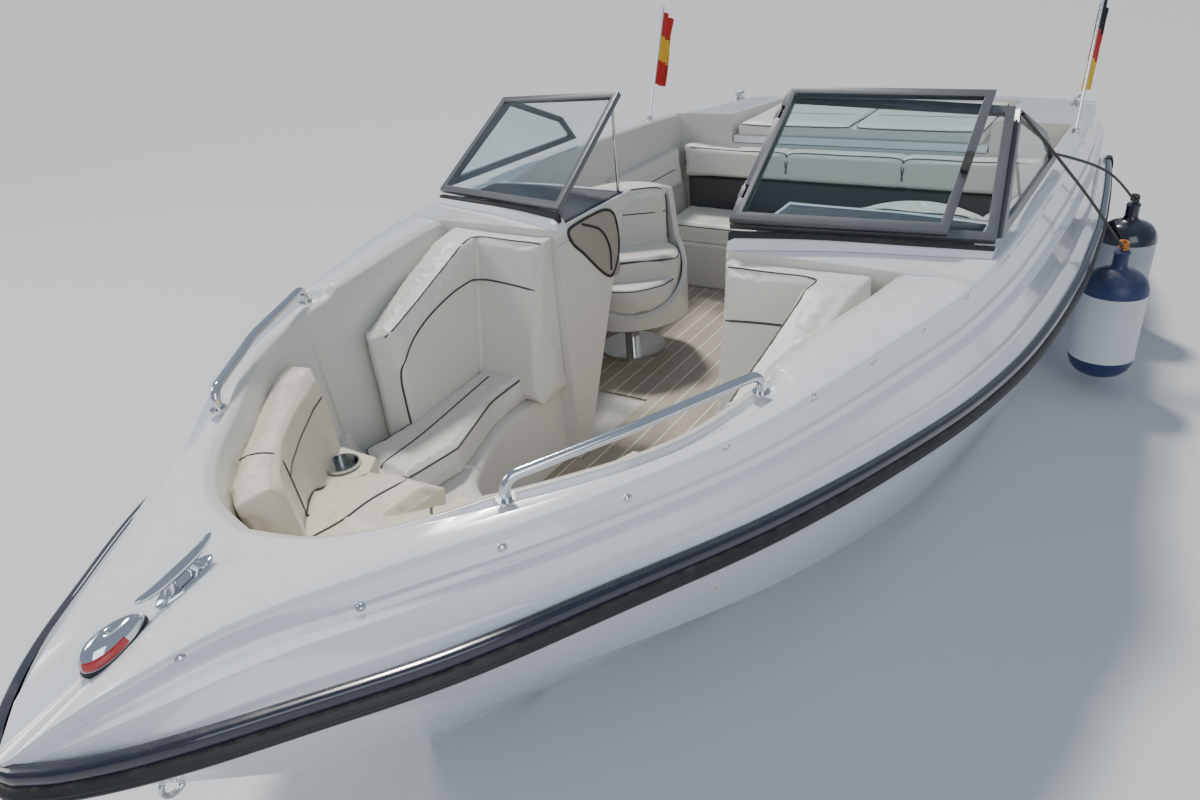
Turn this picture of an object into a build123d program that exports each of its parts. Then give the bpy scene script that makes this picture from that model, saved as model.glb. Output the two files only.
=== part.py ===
# An open 5.5 m runabout with a bow cockpit, a walk-through windshield and a stern drive, afloat.
# X runs forward to the bow, Y to port and Z up. The origin is on the centreline at the
# waterline. All sizes are millimetres.

import os
from math import cos, radians, sin, tan

from build123d import *

os.makedirs("parts", exist_ok=True)

# Hull and deck lines, from the transom to the stem. The columns are: station, keel height,
# chine half breadth, chine height, rail half breadth, rail height, shoulder half breadth,
# shoulder height
STATIONS = [
    (-2100, -385, 1040, -50, 1080, 520, 985, 835),
    (-1600, -385, 1034, -47, 1118, 534, 1022, 872),
    (-1150, -384, 1022, -40, 1142, 547, 1040, 905),
    (-700, -382, 1000, -30, 1157, 562, 1048, 930),
    (-250, -380, 960, -12, 1156, 577, 1046, 947),
    (200, -376, 903, 15, 1134, 591, 1038, 956),
    (600, -366, 838, 50, 1096, 606, 1024, 959),
    (1000, -342, 742, 100, 1027, 631, 985, 957),
    (1400, -290, 620, 170, 920, 663, 885, 948),
    (1800, -195, 460, 250, 781, 696, 755, 934),
    (2200, 5, 300, 370, 592, 727, 525, 912),
    (2450, 205, 198, 478, 458, 739, 325, 893),
    (2650, 395, 118, 572, 318, 747, 175, 873),
    (2820, 565, 62, 655, 188, 752, 95, 846),
    (2920, 665, 28, 700, 84, 751, 42, 815),
    (2955, 705, 10, 722, 28, 750, 16, 790),
]
TRANSOM_X = STATIONS[0][0]
DECK_CAMBER = 22
NARROW_HALF = 300
LEDGE_IN = 14
LEDGE_UP = 26
RIDGE_SHARE = 0.6
RIDGE_OUT = 16

# Rub rail
RAIL_STAND = 26
RAIL_HALF = 32

# Floors, and the heights that the bow seats stand at
FLOOR_Z = 90
FLOOR_SHEET = 8
FLOOR_PLAY = 4
BOW_BASE_Z = 400
BOW_FRONT_Z = 560
LIP_Z = 930
SKY_Z = 1300

# Main cockpit and the walkway between the consoles
COCKPIT_AFT_X = -1130
COCKPIT_TURN_X = 100
COCKPIT_FORE_X = 500
COCKPIT_HALF = 885
COCKPIT_FORE_HALF = 800
COCKPIT_FLARE = 5
WALK_HALF = 300
BULKHEAD_X = 995
BULKHEAD_THICK = 60
CONSOLE_HALF = 680
CONSOLE_TOP = 925
FIN_THICK = 28
# Aft edge of the console's side, station and height
FIN_EDGE = [(560, CONSOLE_TOP), (650, 720), (780, 420), (905, 140), (905, FLOOR_Z)]

# Bow cockpit in plan, port half: the lip and the foot of the side, station and half breadth
LIP = [(BULKHEAD_X, 812), (1300, 758), (1600, 712), (1930, 620), (2230, 390), (2470, 150)]
BASE = [(BULKHEAD_X, 740), (1300, 700), (1600, 640), (1770, 560), (1860, 380)]
FRONT_BASE = [(1700, 640), (1930, 560), (2180, 370), (2400, 120)]
FOOTWELL = [(BULKHEAD_X, 360), (1320, 360), (1650, 230)]
BOW_ROUND = 90
BOW_FLARE = 6

# Engine bay under the hatch and the sun pad
BAY_WALL = 60
BAY_FORE_X = COCKPIT_AFT_X - BAY_WALL
BAY_AFT_X = -1900
BAY_HALF = 600
BAY_FLOOR_Z = -150
RIM = 40
HATCH_Z = 770
HATCH_THICK = 35
HATCH_GAP = 8
HATCH_PIN_R = 4
HATCH_KNUCKLE_R = 8
HATCH_PIN_IN = 13
HATCH_EDGE_IN = 12
KNUCKLE_LONG = 60
PAD_THICK = 60
PAD_SET = 75
ENGINE_WIDE = 540
ENGINE_LONG = 560
ENGINE_TOP_Z = 480
SEAT_GAP = 0.3

# Windshield corners to port: inner foot, inner head, outer foot, outer head, and the side wing
SHIELD_A = Vector(966, 300, 1036)
SHIELD_B = Vector(526, 306, 1320)
SHIELD_C = Vector(773, 985, 998)
SHIELD_D = Vector(372, 930, 1255)
WING_STEP = Vector(-22, 4, 4)
WING_TOP = Vector(-50, 955, 1105)
WING_TIP = Vector(-190, 1000, 985)
FRAME_WIDE = 26
FRAME_THICK = 20
GLASS_THICK = 6
DOOR_GAP = 8
DOOR_PLAY = 12
DOOR_PIN_R = 5
DOOR_NOTCH = 50
LEAF_PLAY = 2
SILL_FORE = 28
SILL_AFT = 150
SILL_SINK = 75
SILL_LIP = 12
BRACE_R = 6
BRACE_HEAD = (560, -322)
BRACE_FOOT = (535, -338)

# Pedestal seats
SEAT_X = 80
SEAT_Y = 600
SEAT_TURN = 35
SEAT_R = 262
SHELL_WALL = 20
SHELL_FLOOR = 25
PEDESTAL_R = 36
PEDESTAL_FOOT_R = 150
PEDESTAL_FOOT = 18
SPIGOT_R = 22
SPIGOT = 80
SHELL_Z = 298
SHELL_TOP = 800
SEAT_CUSHION_TOP = 560
BOLSTER_TOP = 470
BOLSTER_X = 120
BACK_X = -115
BACK_TOP = 822

# Rear bench
BENCH_DEEP = 410
BENCH_SEAT_Z = 340
BENCH_CUSHION = 90
BENCH_BACK_THICK = 105
BENCH_BACK_Z = 600
BENCH_TOP_Z = 770
BENCH_SPLIT = 290
PANEL_THICK = 65
SIDE_PAD = (-1020, -330)
SIDE_PAD_Z = (560, 760)
SIDE_PAD_THICK = 45

# Helm
WHEEL_AT = Vector(392, -630, 800)
WHEEL_R = 180
WHEEL_TILT = 28
RIM_THICK = 26
SPOKE_WIDE = 30
HUB_R = 45
COLUMN_R = 20
COLUMN_PLAY = 0.5
COLUMN_IN = 60
POD_INNER_Y = 345
POD_FACE_X = 530
POD_LOW_Z = 655
POD_LONG = 320

# Stern drive, told from its steering axis
STEER_X = -2215
HOUSING_THICK = 25
HOUSING_HALF = 150
HOUSING_Z = (-340, 150)
RING_HALF = 115
RING_BAR = 27
RING_DEEP = 40
RING_TOP = 60
RING_LOW = -280
PIN_R = 12
PIN_PLAY = 0.06
LUG = 40
LUG_GAP = 6
LEG_HALF = 78
LEG_COWL = 90
LEG_NOTCH = [(-10, 20), (-43, -13), (-106, 50), (-106, 60), (-10, 60)]
SHAFT_DROP = 600
PLATE_DROP = 408
TORPEDO_R = 60
TORPEDO_AFT = 330
TORPEDO_LONG = 310
PROP_BACK = 375
PROP_HUB = 80
PROP_HUB_R = 38
PROP_R = 178
PROP_SHAFT = 60
BLADE_THICK = 8
BLADE_PITCH = 62
CYL_FOOT = Vector(-10, 0, -235)
CYL_EYE = Vector(-300, 0, -150)
CYL_Y = 142
CYL_R = 24
CYL_LONG = 235
ROD_R = 11
ROD_IN = 45
CYL_PIN_R = 9
EYE_R = 19
EYE_THICK = 26

# Swim platform
PLATFORM_X = -2520
PLATFORM_HALF = 900
PLATFORM_Z = 330
PLATFORM_THICK = 60
PLATFORM_ROUND = 140

# Deck fittings
TUBE_R = 11
TUBE_FOOT_R = 19
TUBE_FOOT = 6
RAIL_HIGH = 45
RAIL_FORE_X = 2215
RAIL_AFT_X = 1700
CLEAT_X = 2610
CLEAT_LONG = 165
CLEAT_HIGH = 36
STERN_CLEAT = (-1840, 905)
LIGHT_X = 2750
LIGHT_HALF = (58, 38)
LIGHT_HIGH = 44
STEM_EYE_AT = Vector(2765, 0, 510)
STEM_EYE_R = 22
STEM_EYE_ROD = 6
SPEAKER_Z = 720
SPEAKER_X = 1860
SPEAKER_HALF = (98, 62)
SPEAKER_THICK = 14
CUP_AT = (1965, 372)
CUP_R = 48
CUP_HIGH = 75
CUP_WALL = 4
THROTTLE_X = (235, 325)
THROTTLE_Z = (595, 685)
THROTTLE_DEEP = 46
STAFF_X = -890
STAFF_Y = 1000
STAFF_R = 6
STAFF_LEAN = 22
STAFF_LONG = 560
STAFF_FOOT = 24
FLAG_LONG = 360
FLAG_WIDE = 130
FLAG_THICK = 4
FENDER_R = 120
FENDER_Z = (60, 510)
FENDER_NECK = 100
FENDER_X = (-500, -1150)
ROPE_R = 5


def outline(points):
    """Closed face from a list of corners in the open sketch."""
    Polygon(*points, align=None)


def both_sides(points):
    """Closed ring from its port half, given as across and up."""
    return points + [(-y, z) for y, z in reversed(points) if y > 0]


def across(points):
    """Closed ring in plan from its port half."""
    return points + [(x, -y) for x, y in reversed(points)]


def lofted(ring):
    with BuildPart() as body:
        for row in STATIONS:
            with BuildSketch(Plane.YZ.offset(row[0])):
                outline(ring(row))
        loft(ruled=True)
    return body.part


def hull_ring(row):
    x, keel, chine_y, chine_z, rail_y, rail_z, top_y, top_z = row
    return both_sides([(0, keel), (chine_y, chine_z), (rail_y, rail_z)])


def narrowed(rail_y):
    """Share that the deck's small forms keep where the bow narrows."""
    return min(1, rail_y / NARROW_HALF)


def deck_ring(row):
    x, keel, chine_y, chine_z, rail_y, rail_z, top_y, top_z = row
    size = narrowed(rail_y)
    low = (rail_y - LEDGE_IN * size, rail_z + LEDGE_UP * size)
    ridge = (
        low[0] + (top_y - low[0]) * RIDGE_SHARE + RIDGE_OUT * size,
        low[1] + (top_z - low[1]) * RIDGE_SHARE,
    )
    crown = (0, top_z + DECK_CAMBER * size)
    return both_sides([(rail_y, rail_z), low, ridge, (top_y, top_z), crown])


def rail_ring(stand, half):
    def ring(row):
        rail_y, rail_z = row[4] + stand, row[5]
        return [
            (rail_y, rail_z - half), (rail_y, rail_z + half),
            (-rail_y, rail_z + half), (-rail_y, rail_z - half),
        ]
    return ring


def at_station(x, column):
    """Value of one column of the lines at any station."""
    for aft, fore in zip(STATIONS, STATIONS[1:]):
        if aft[0] <= x <= fore[0]:
            share = (x - aft[0]) / (fore[0] - aft[0])
            return aft[column] + share * (fore[column] - aft[column])
    raise ValueError("station is off the hull")


def deck_top(x, y):
    """Height of the flat top of the deck."""
    camber = DECK_CAMBER * narrowed(at_station(x, 4))
    return at_station(x, 7) + camber * (1 - abs(y) / at_station(x, 6))


def on_deck(x, y, up=1):
    """Plane that lies on the deck at a point, just clear of it."""
    fore, aft = deck_top(x + 50, y), deck_top(x - 50, y)
    slope = (fore - aft) / 100
    lean = -DECK_CAMBER / at_station(x, 6) * ((y > 0) - (y < 0))
    return Plane(origin=(x, y, deck_top(x, y) + up), x_dir=(1, 0, slope), z_dir=(-slope, -lean, 1))


def lip_half(x):
    for aft, fore in zip(LIP, LIP[1:]):
        if aft[0] <= x <= fore[0]:
            return aft[1] + (x - aft[0]) / (fore[0] - aft[0]) * (fore[1] - aft[1])
    raise ValueError("station is off the bow opening")


def wall_half(z):
    """Half breadth of the cockpit side at a height."""
    return COCKPIT_HALF + (z - FLOOR_Z) * tan(radians(COCKPIT_FLARE))


def block(x, y, z):
    """Box between two bounds on each axis, apart from any open part."""
    low = Vector(min(x), min(y), min(z))
    high = Vector(max(x), max(y), max(z))
    size = high - low
    with BuildPart(mode=Mode.PRIVATE) as made:
        with Locations((low + high) * 0.5):
            Box(size.X, size.Y, size.Z)
    return made.part


def side_slab(points, y, side):
    """Upright slab on one side of the boat, from its outline in station and height."""
    with BuildPart(mode=Mode.PRIVATE) as made:
        with BuildSketch(Plane.XZ.offset(-side * y[0])):
            outline(points)
        extrude(amount=-side * (y[1] - y[0]))
    return made.part


def raised(points, side, low, high):
    """Upright prism on one side of the boat, from its outline in plan to port."""
    with BuildPart(mode=Mode.PRIVATE) as made:
        with BuildSketch(Plane.XY.offset(low)):
            outline([(x, side * y) for x, y in points])
        extrude(amount=high - low)
    return made.part


def tube(points, radius, bends):
    """Round tube along straight runs that tangent arcs join."""
    with BuildPart(mode=Mode.PRIVATE) as made:
        with BuildLine() as path:
            if bends:
                FilletPolyline(*points, radius=bends)
            else:
                Line(*points)
        start = Vector(*points[0])
        with BuildSketch(Plane(origin=start, z_dir=Vector(*points[1]) - start)):
            Circle(radius)
        sweep(path=path.line)
    return made.part


def keep(piece, name):
    piece.label = name
    export_step(piece, f"parts/{name}.step")


# Spaces that are cut out of the hull and the deck
with BuildPart() as bow_space:
    for foot, foot_z in ((BASE, BOW_BASE_Z), (FRONT_BASE, BOW_FRONT_Z)):
        with BuildSketch(Plane.XY.offset(foot_z)) as low:
            outline(across(foot))
            fillet([v for v in low.vertices() if v.X > foot[-2][0] - 1], BOW_ROUND)
        extrude(amount=LIP_Z - foot_z, taper=-BOW_FLARE)
    with BuildSketch(Plane.XY.offset(LIP_Z)) as lip:
        outline(across(LIP))
        fillet([v for v in lip.vertices() if v.X > LIP[-2][0] - 1], BOW_ROUND)
    extrude(amount=SKY_Z - LIP_Z)
    with BuildSketch(Plane.XY.offset(FLOOR_Z)) as well:
        outline(across(FOOTWELL))
        fillet([v for v in well.vertices() if v.X > FOOTWELL[-1][0] - 1], BOW_ROUND)
    extrude(amount=BOW_BASE_Z - FLOOR_Z + 1)
    add(block((BULKHEAD_X - 300, BULKHEAD_X), (-990, 990), (0, SKY_Z + 1)), mode=Mode.SUBTRACT)

COCKPIT = [
    (COCKPIT_AFT_X, COCKPIT_HALF), (COCKPIT_TURN_X, COCKPIT_HALF), (COCKPIT_FORE_X, COCKPIT_FORE_HALF),
]
with BuildPart() as main_space:
    with BuildSketch(Plane.XY.offset(FLOOR_Z)):
        outline(across(COCKPIT))
    extrude(amount=SKY_Z - FLOOR_Z, taper=-COCKPIT_FLARE)
    for x in ((COCKPIT_AFT_X - 300, COCKPIT_AFT_X), (COCKPIT_FORE_X, COCKPIT_FORE_X + 300)):
        add(block(x, (-1100, 1100), (0, SKY_Z + 1)), mode=Mode.SUBTRACT)

HATCH_AFT_X = BAY_AFT_X - RIM
HATCH_HALF = BAY_HALF + RIM
spaces = (
    bow_space.part,
    main_space.part,
    block((COCKPIT_FORE_X - 5, BULKHEAD_X + 5), (-WALK_HALF, WALK_HALF), (FLOOR_Z, SKY_Z)),
    block((COCKPIT_FORE_X - 5, BULKHEAD_X), (-CONSOLE_HALF, CONSOLE_HALF), (FLOOR_Z, CONSOLE_TOP)),
    block((BAY_AFT_X, BAY_FORE_X), (-BAY_HALF, BAY_HALF), (BAY_FLOOR_Z, SKY_Z)),
    block((HATCH_AFT_X, COCKPIT_AFT_X + 1), (-HATCH_HALF, HATCH_HALF), (HATCH_Z - SEAT_GAP, SKY_Z)),
)

# Hull up to the rub rail, with the closed space between skin and liner
with BuildPart() as hull:
    add(lofted(hull_ring))
    for space in spaces:
        add(space, mode=Mode.SUBTRACT)
keep(hull.part, "hull")

with BuildPart() as rub_rail:
    add(lofted(rail_ring(RAIL_STAND, RAIL_HALF)))
    add(lofted(rail_ring(0, RAIL_HALF + 10)), mode=Mode.SUBTRACT)
    stem_x, stem_y, stem_z = STATIONS[-1][0], STATIONS[-1][4] + RAIL_STAND, STATIONS[-1][5]
    add(block((stem_x, stem_x + RAIL_STAND), (-stem_y, stem_y), (stem_z - RAIL_HALF, stem_z + RAIL_HALF)))
    fillet(rub_rail.edges().filter_by(Axis.Z).group_by(Axis.X)[-1], RAIL_STAND - 2)
keep(rub_rail.part, "rub_rail")


def panel(corners, thick, grow=0):
    """Flat plate through the first, second and last corner, its edges moved out by grow."""
    foot, along, head = corners[0], corners[1], corners[-1]
    plane = Plane(origin=foot, x_dir=along - foot, z_dir=(along - foot).cross(head - foot))
    flat = [plane.to_local_coords(corner) for corner in corners]
    with BuildPart(mode=Mode.PRIVATE) as plate:
        with BuildSketch(plane):
            outline([(point.X, point.Y) for point in flat])
            if grow:
                offset(amount=grow, kind=Kind.INTERSECTION, mode=Mode.REPLACE)
        extrude(amount=thick / 2, both=True)
    return plate.part


def framed(corners):
    """Frame around one pane."""
    with BuildPart(mode=Mode.PRIVATE) as bars:
        add(panel(corners, FRAME_THICK))
        add(panel(corners, FRAME_THICK + 10, -FRAME_WIDE), mode=Mode.SUBTRACT)
    return bars.part


def glazed(corners):
    return panel(corners, GLASS_THICK, -FRAME_WIDE)


def on_side(corners, side):
    return [Vector(corner.X, side * corner.Y, corner.Z) for corner in corners]


def sill(corners, side, fore, aft):
    """Moulded plinth under one pane's foot, from inside the deck up to its frame."""
    start, end = on_side(corners[:2], side)
    run = (end - start).normalized()
    out = Vector(run.Y, -run.X, 0).normalized()
    with BuildPart(mode=Mode.PRIVATE) as bed:
        with BuildSketch(Plane(origin=start, x_dir=out, z_dir=run)):
            outline([
                (side * fore, SILL_SINK), (side * FRAME_THICK, -SILL_LIP),
                (-side * FRAME_THICK, -SILL_LIP), (-side * aft, SILL_SINK),
            ])
        extrude(amount=(end - start).length)
    return bed.part


FRONT_PANE = [SHIELD_A, SHIELD_C, SHIELD_D, SHIELD_B]
WING_PANE = [SHIELD_C + WING_STEP, WING_TIP, WING_TOP, SHIELD_D + WING_STEP]

# Deck moulding above the rub rail, with the sills that carry the windshield
with BuildPart() as deck:
    add(lofted(deck_ring))
    for side in (1, -1):
        add(sill(FRONT_PANE, side, SILL_FORE, SILL_AFT))
        add(sill(WING_PANE, side, SILL_FORE, SILL_FORE))
    for space in spaces:
        add(space, mode=Mode.SUBTRACT)
    for side in (1, -1):
        for pane in (FRONT_PANE, WING_PANE):
            add(panel(on_side(pane, side), FRAME_THICK), mode=Mode.SUBTRACT)
keep(deck.part, "deck")

# Plank floor sheet
p = FLOOR_PLAY
with BuildPart() as cockpit_floor:
    with BuildSketch(Plane.XY.offset(FLOOR_Z)):
        outline(across([
            (COCKPIT_AFT_X + BENCH_DEEP + p, COCKPIT_HALF - p), (COCKPIT_TURN_X, COCKPIT_HALF - p),
            (COCKPIT_FORE_X - p, COCKPIT_FORE_HALF - p), (COCKPIT_FORE_X - p, WALK_HALF - p),
            (BULKHEAD_X + p, WALK_HALF - p), (BULKHEAD_X + p, FOOTWELL[0][1] - p),
            (FOOTWELL[1][0], FOOTWELL[1][1] - p), (FOOTWELL[2][0] - 30, FOOTWELL[2][1] - 60),
        ]))
    extrude(amount=FLOOR_SHEET)
keep(cockpit_floor.part, "cockpit_floor")

# Consoles each side of the walkway: the bulkhead behind the bow seats and the curved side
fin = [(BULKHEAD_X - BULKHEAD_THICK, FLOOR_Z), (BULKHEAD_X - BULKHEAD_THICK, CONSOLE_TOP)] + FIN_EDGE
for side, name in ((-1, "console_starboard"), (1, "console_port")):
    wall = (side * WALK_HALF, side * CONSOLE_HALF)
    with BuildPart() as console:
        add(block((BULKHEAD_X - BULKHEAD_THICK, BULKHEAD_X), wall, (FLOOR_Z, CONSOLE_TOP)))
        add(side_slab(fin, (WALK_HALF, WALK_HALF + FIN_THICK), side))
        if side > 0:
            face = (POD_FACE_X, FIN_EDGE[0][0] + 10)
            add(block(face, (WALK_HALF, CONSOLE_HALF), (POD_LOW_Z, CONSOLE_TOP)))
    keep(console.part, name)

wheel_axis = Vector(-cos(radians(WHEEL_TILT)), 0, sin(radians(WHEEL_TILT)))
wheel_plane = Plane(origin=WHEEL_AT, x_dir=(0, 1, 0), z_dir=wheel_axis)
column = (POD_FACE_X - WHEEL_AT.X) / cos(radians(WHEEL_TILT)) + COLUMN_IN
with BuildPart() as dash_pod:
    add(side_slab(
        [
            (POD_FACE_X, CONSOLE_TOP), (POD_FACE_X, POD_LOW_Z), (POD_FACE_X + POD_LONG / 3, POD_LOW_Z),
            (POD_FACE_X + POD_LONG, CONSOLE_TOP - 60), (POD_FACE_X + POD_LONG, CONSOLE_TOP),
        ],
        (POD_INNER_Y, CONSOLE_HALF), -1,
    ))
    fillet(dash_pod.edges().filter_by(Axis.Y).group_by(Axis.Z)[0], 40)
    with BuildSketch(wheel_plane):
        Circle(COLUMN_R + COLUMN_PLAY)
    extrude(amount=-column - 5, mode=Mode.SUBTRACT)
keep(dash_pod.part, "dash_pod")

with BuildPart() as steering_wheel:
    with Locations(wheel_plane):
        Torus(WHEEL_R - RIM_THICK / 2, RIM_THICK / 2)
    with BuildSketch(wheel_plane.offset(-RIM_THICK / 4)):
        Circle(HUB_R)
        for turn in (90, 210, 330):
            with Locations(Rot(0, 0, turn) * Pos(WHEEL_R / 2, 0, 0)):
                Rectangle(WHEEL_R - RIM_THICK, SPOKE_WIDE)
    extrude(amount=RIM_THICK / 2)
    with BuildSketch(wheel_plane):
        Circle(COLUMN_R)
    extrude(amount=-column)
keep(steering_wheel.part, "steering_wheel")

# Windshield, one frame and one set of panes on each side
pane_normal = (SHIELD_C - SHIELD_A).cross(SHIELD_B - SHIELD_A).normalized()
if pane_normal.X < 0:
    pane_normal = -pane_normal
post = SHIELD_B - SHIELD_A
across_pane = (SHIELD_C - SHIELD_A).normalized()
hinge_foot = SHIELD_A + pane_normal * (FRAME_THICK + DOOR_GAP)


def hinge_block(share, out, deep, long):
    """Block on the door's hinge line, from a place along the post."""
    middle = hinge_foot + post * share
    plane = Plane(origin=middle + pane_normal * deep[0], x_dir=across_pane, z_dir=pane_normal)
    line = plane.to_local_coords(middle + post) - plane.to_local_coords(middle)
    way = Vector(line.X, line.Y).normalized()
    cross_way = Vector(-way.Y, way.X)
    corners = [
        way * along * long / 2 + cross_way * beside * out
        for along, beside in ((-1, -1), (1, -1), (1, 1), (-1, 1))
    ]
    with BuildPart(mode=Mode.PRIVATE) as made:
        with BuildSketch(plane):
            outline([(corner.X, corner.Y) for corner in corners])
        extrude(amount=deep[1] - deep[0])
    return made.part


def hinge_rod(share, radius, long):
    way = post.normalized()
    with BuildPart(mode=Mode.PRIVATE) as made:
        with BuildSketch(Plane(origin=hinge_foot + post * share - way * long / 2, z_dir=way)):
            Circle(radius)
        extrude(amount=long)
    return made.part


HINGE_SHARES = (0.2, 0.8)
NOTCH_R = FRAME_THICK / 2 + 4
for side, name in ((1, "port"), (-1, "starboard")):
    with BuildPart() as shield_frame:
        for pane in (FRONT_PANE, WING_PANE):
            add(framed(on_side(pane, side)))
        if side > 0:
            for share in HINGE_SHARES:
                reach = (FRAME_THICK / 2 - FRAME_THICK - DOOR_GAP, DOOR_PIN_R + 1)
                add(hinge_block(share, DOOR_PIN_R + 1, reach, DOOR_NOTCH - 2 * LEAF_PLAY))
                add(hinge_rod(share, DOOR_PIN_R, DOOR_NOTCH + 40))
    keep(shield_frame.part, f"windshield_frame_{name}")
    with BuildPart() as shield_glass:
        for pane in (FRONT_PANE, WING_PANE):
            add(glazed(on_side(pane, side)))
    keep(shield_glass.part, f"windshield_glass_{name}")

# Walk-through door, folded forward over the port pane, hinged on the pane's inner post
wide = across_pane * (2 * SHIELD_A.Y - DOOR_PLAY)
door_corners = [hinge_foot, hinge_foot + wide, hinge_foot + post + wide, hinge_foot + post]
with BuildPart() as door_frame:
    add(framed(door_corners))
    for share in HINGE_SHARES:
        notch = (-FRAME_THICK, FRAME_THICK)
        add(hinge_block(share, NOTCH_R, notch, DOOR_NOTCH), mode=Mode.SUBTRACT)
        add(hinge_rod(share, DOOR_PIN_R + PIN_PLAY, DOOR_NOTCH + 44), mode=Mode.SUBTRACT)
keep(door_frame.part, "door_frame")
keep(glazed(door_corners), "door_glass")
latch_at = hinge_foot + wide * 0.98 + post * 0.45 + pane_normal * (FRAME_THICK / 2)
with BuildPart() as door_latch:
    with BuildSketch(Plane(origin=latch_at, x_dir=post, z_dir=pane_normal)):
        RectangleRounded(70, 22, 8)
    extrude(amount=16)
keep(door_latch.part, "door_latch")

def under_frame(x, y):
    """Height of the front frame's lower face."""
    foot = SHIELD_A - pane_normal * (FRAME_THICK / 2)
    return foot.Z - (pane_normal.X * (x - foot.X) + pane_normal.Y * (abs(y) - foot.Y)) / pane_normal.Z


# Thin rod from the starboard frame's head down to the deck
with BuildPart() as brace_rod:
    (x0, y0), (x1, y1) = BRACE_HEAD, BRACE_FOOT
    head_z = under_frame(x0, y0) - 0.9 * BRACE_R
    foot_z = deck_top(x1, y1) + 0.1 * BRACE_R
    knee = ((x0 + 2 * x1) / 3, (y0 + 2 * y1) / 3, (head_z + foot_z) / 2)
    add(tube([(x0, y0, head_z), knee, (x1, y1, foot_z)], BRACE_R, [300]))
keep(brace_rod.part, "brace_rod")

# Bow cushions, each side by mirror
g = SEAT_GAP
BACK_REAR = [(BULKHEAD_X + g, 500), (1165, 500), (1050, 962), (BULKHEAD_X + g, 962)]
BACK_SIDE = [(BULKHEAD_X + g, 600), (1560, 545), (1600, 600), (1580, 636), (1300, 696), (BULKHEAD_X + g, 736)]
BACK_SLOPE = [(BULKHEAD_X, BOW_BASE_Z), (BULKHEAD_X, 965), (1130, 955), (1620, 790), (1640, BOW_BASE_Z)]
SEAT = [(1185, 400), (1185, 575), (1555, 535), (1730, 520), (1800, 340), (1610, 285), (1320, 385)]
SEAT_HIGH = 80
with BuildPart() as bow_backrests:
    for side in (1, -1):
        bottom = BOW_BASE_Z + g
        rear = [(x, max(z, bottom)) if z > 500 else (x, bottom) for x, z in BACK_REAR]
        add(side_slab(rear, (WALK_HALF + 12, 640), side))
        with BuildPart(mode=Mode.PRIVATE) as wing:
            add(raised(BACK_SIDE, side, bottom, 965))
            add(side_slab(BACK_SLOPE, (300, 900), side), mode=Mode.INTERSECT)
        add(wing.part)
keep(bow_backrests.part, "bow_backrests")
with BuildPart() as bow_seats:
    for side in (1, -1):
        add(raised(SEAT, side, BOW_BASE_Z + g, BOW_BASE_Z + SEAT_HIGH))
    fillet(bow_seats.edges().group_by(Axis.Z)[-1], 25)
keep(bow_seats.part, "bow_seats")

FRONT_PAD = [(1875, 40), (1875, 285), (2090, 290), (2225, 170), (2245, 40)]
FRONT_PAD_HIGH = 90
SIDE_BOLSTER = [
    (1875, 490), (1875, 564), (1925, 543), (2170, 362), (2300, 218), (2235, 190), (2105, 325), (1975, 440),
]
SIDE_BOLSTER_HIGH = 250
with BuildPart() as bow_front_pads:
    for side in (1, -1):
        add(raised(FRONT_PAD, side, BOW_FRONT_Z + g, BOW_FRONT_Z + FRONT_PAD_HIGH))
        add(raised(SIDE_BOLSTER, side, BOW_FRONT_Z + g, BOW_FRONT_Z + SIDE_BOLSTER_HIGH))
    fillet(bow_front_pads.edges().group_by(Axis.Z)[-1], 20)
keep(bow_front_pads.part, "bow_front_pads")

with BuildPart() as cup_holder:
    with Locations((CUP_AT[0], -CUP_AT[1], BOW_FRONT_Z)):
        Cylinder(CUP_R, CUP_HIGH, align=(Align.CENTER, Align.CENTER, Align.MIN))
        Cylinder(CUP_R - CUP_WALL, 2 * CUP_HIGH, mode=Mode.SUBTRACT)
        Cylinder(CUP_R, CUP_WALL, align=(Align.CENTER, Align.CENTER, Align.MIN))
keep(cup_holder.part, "cup_holder")

# Speakers on the bow cockpit's sides
(fore_x, fore_y), (next_x, next_y) = FRONT_BASE[:2]
way = Vector(next_x - fore_x, next_y - fore_y, 0).normalized()
flare = radians(BOW_FLARE)
foot_y = fore_y + (SPEAKER_X - fore_x) * (next_y - fore_y) / (next_x - fore_x)
normal = Vector(way.Y * cos(flare), -way.X * cos(flare), sin(flare))
up = Vector(-way.Y * sin(flare), way.X * sin(flare), cos(flare))
centre = Vector(SPEAKER_X, foot_y, BOW_FRONT_Z) + up * (SPEAKER_Z - BOW_FRONT_Z) + normal * g
with BuildPart() as speakers:
    for side in (1, -1):
        at, turn = on_side([centre, normal], side)
        up_side = on_side([up], side)[0]
        with BuildSketch(Plane(origin=at, x_dir=up_side, z_dir=turn)):
            Ellipse(*SPEAKER_HALF)
        extrude(amount=SPEAKER_THICK)
keep(speakers.part, "speakers")

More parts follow.
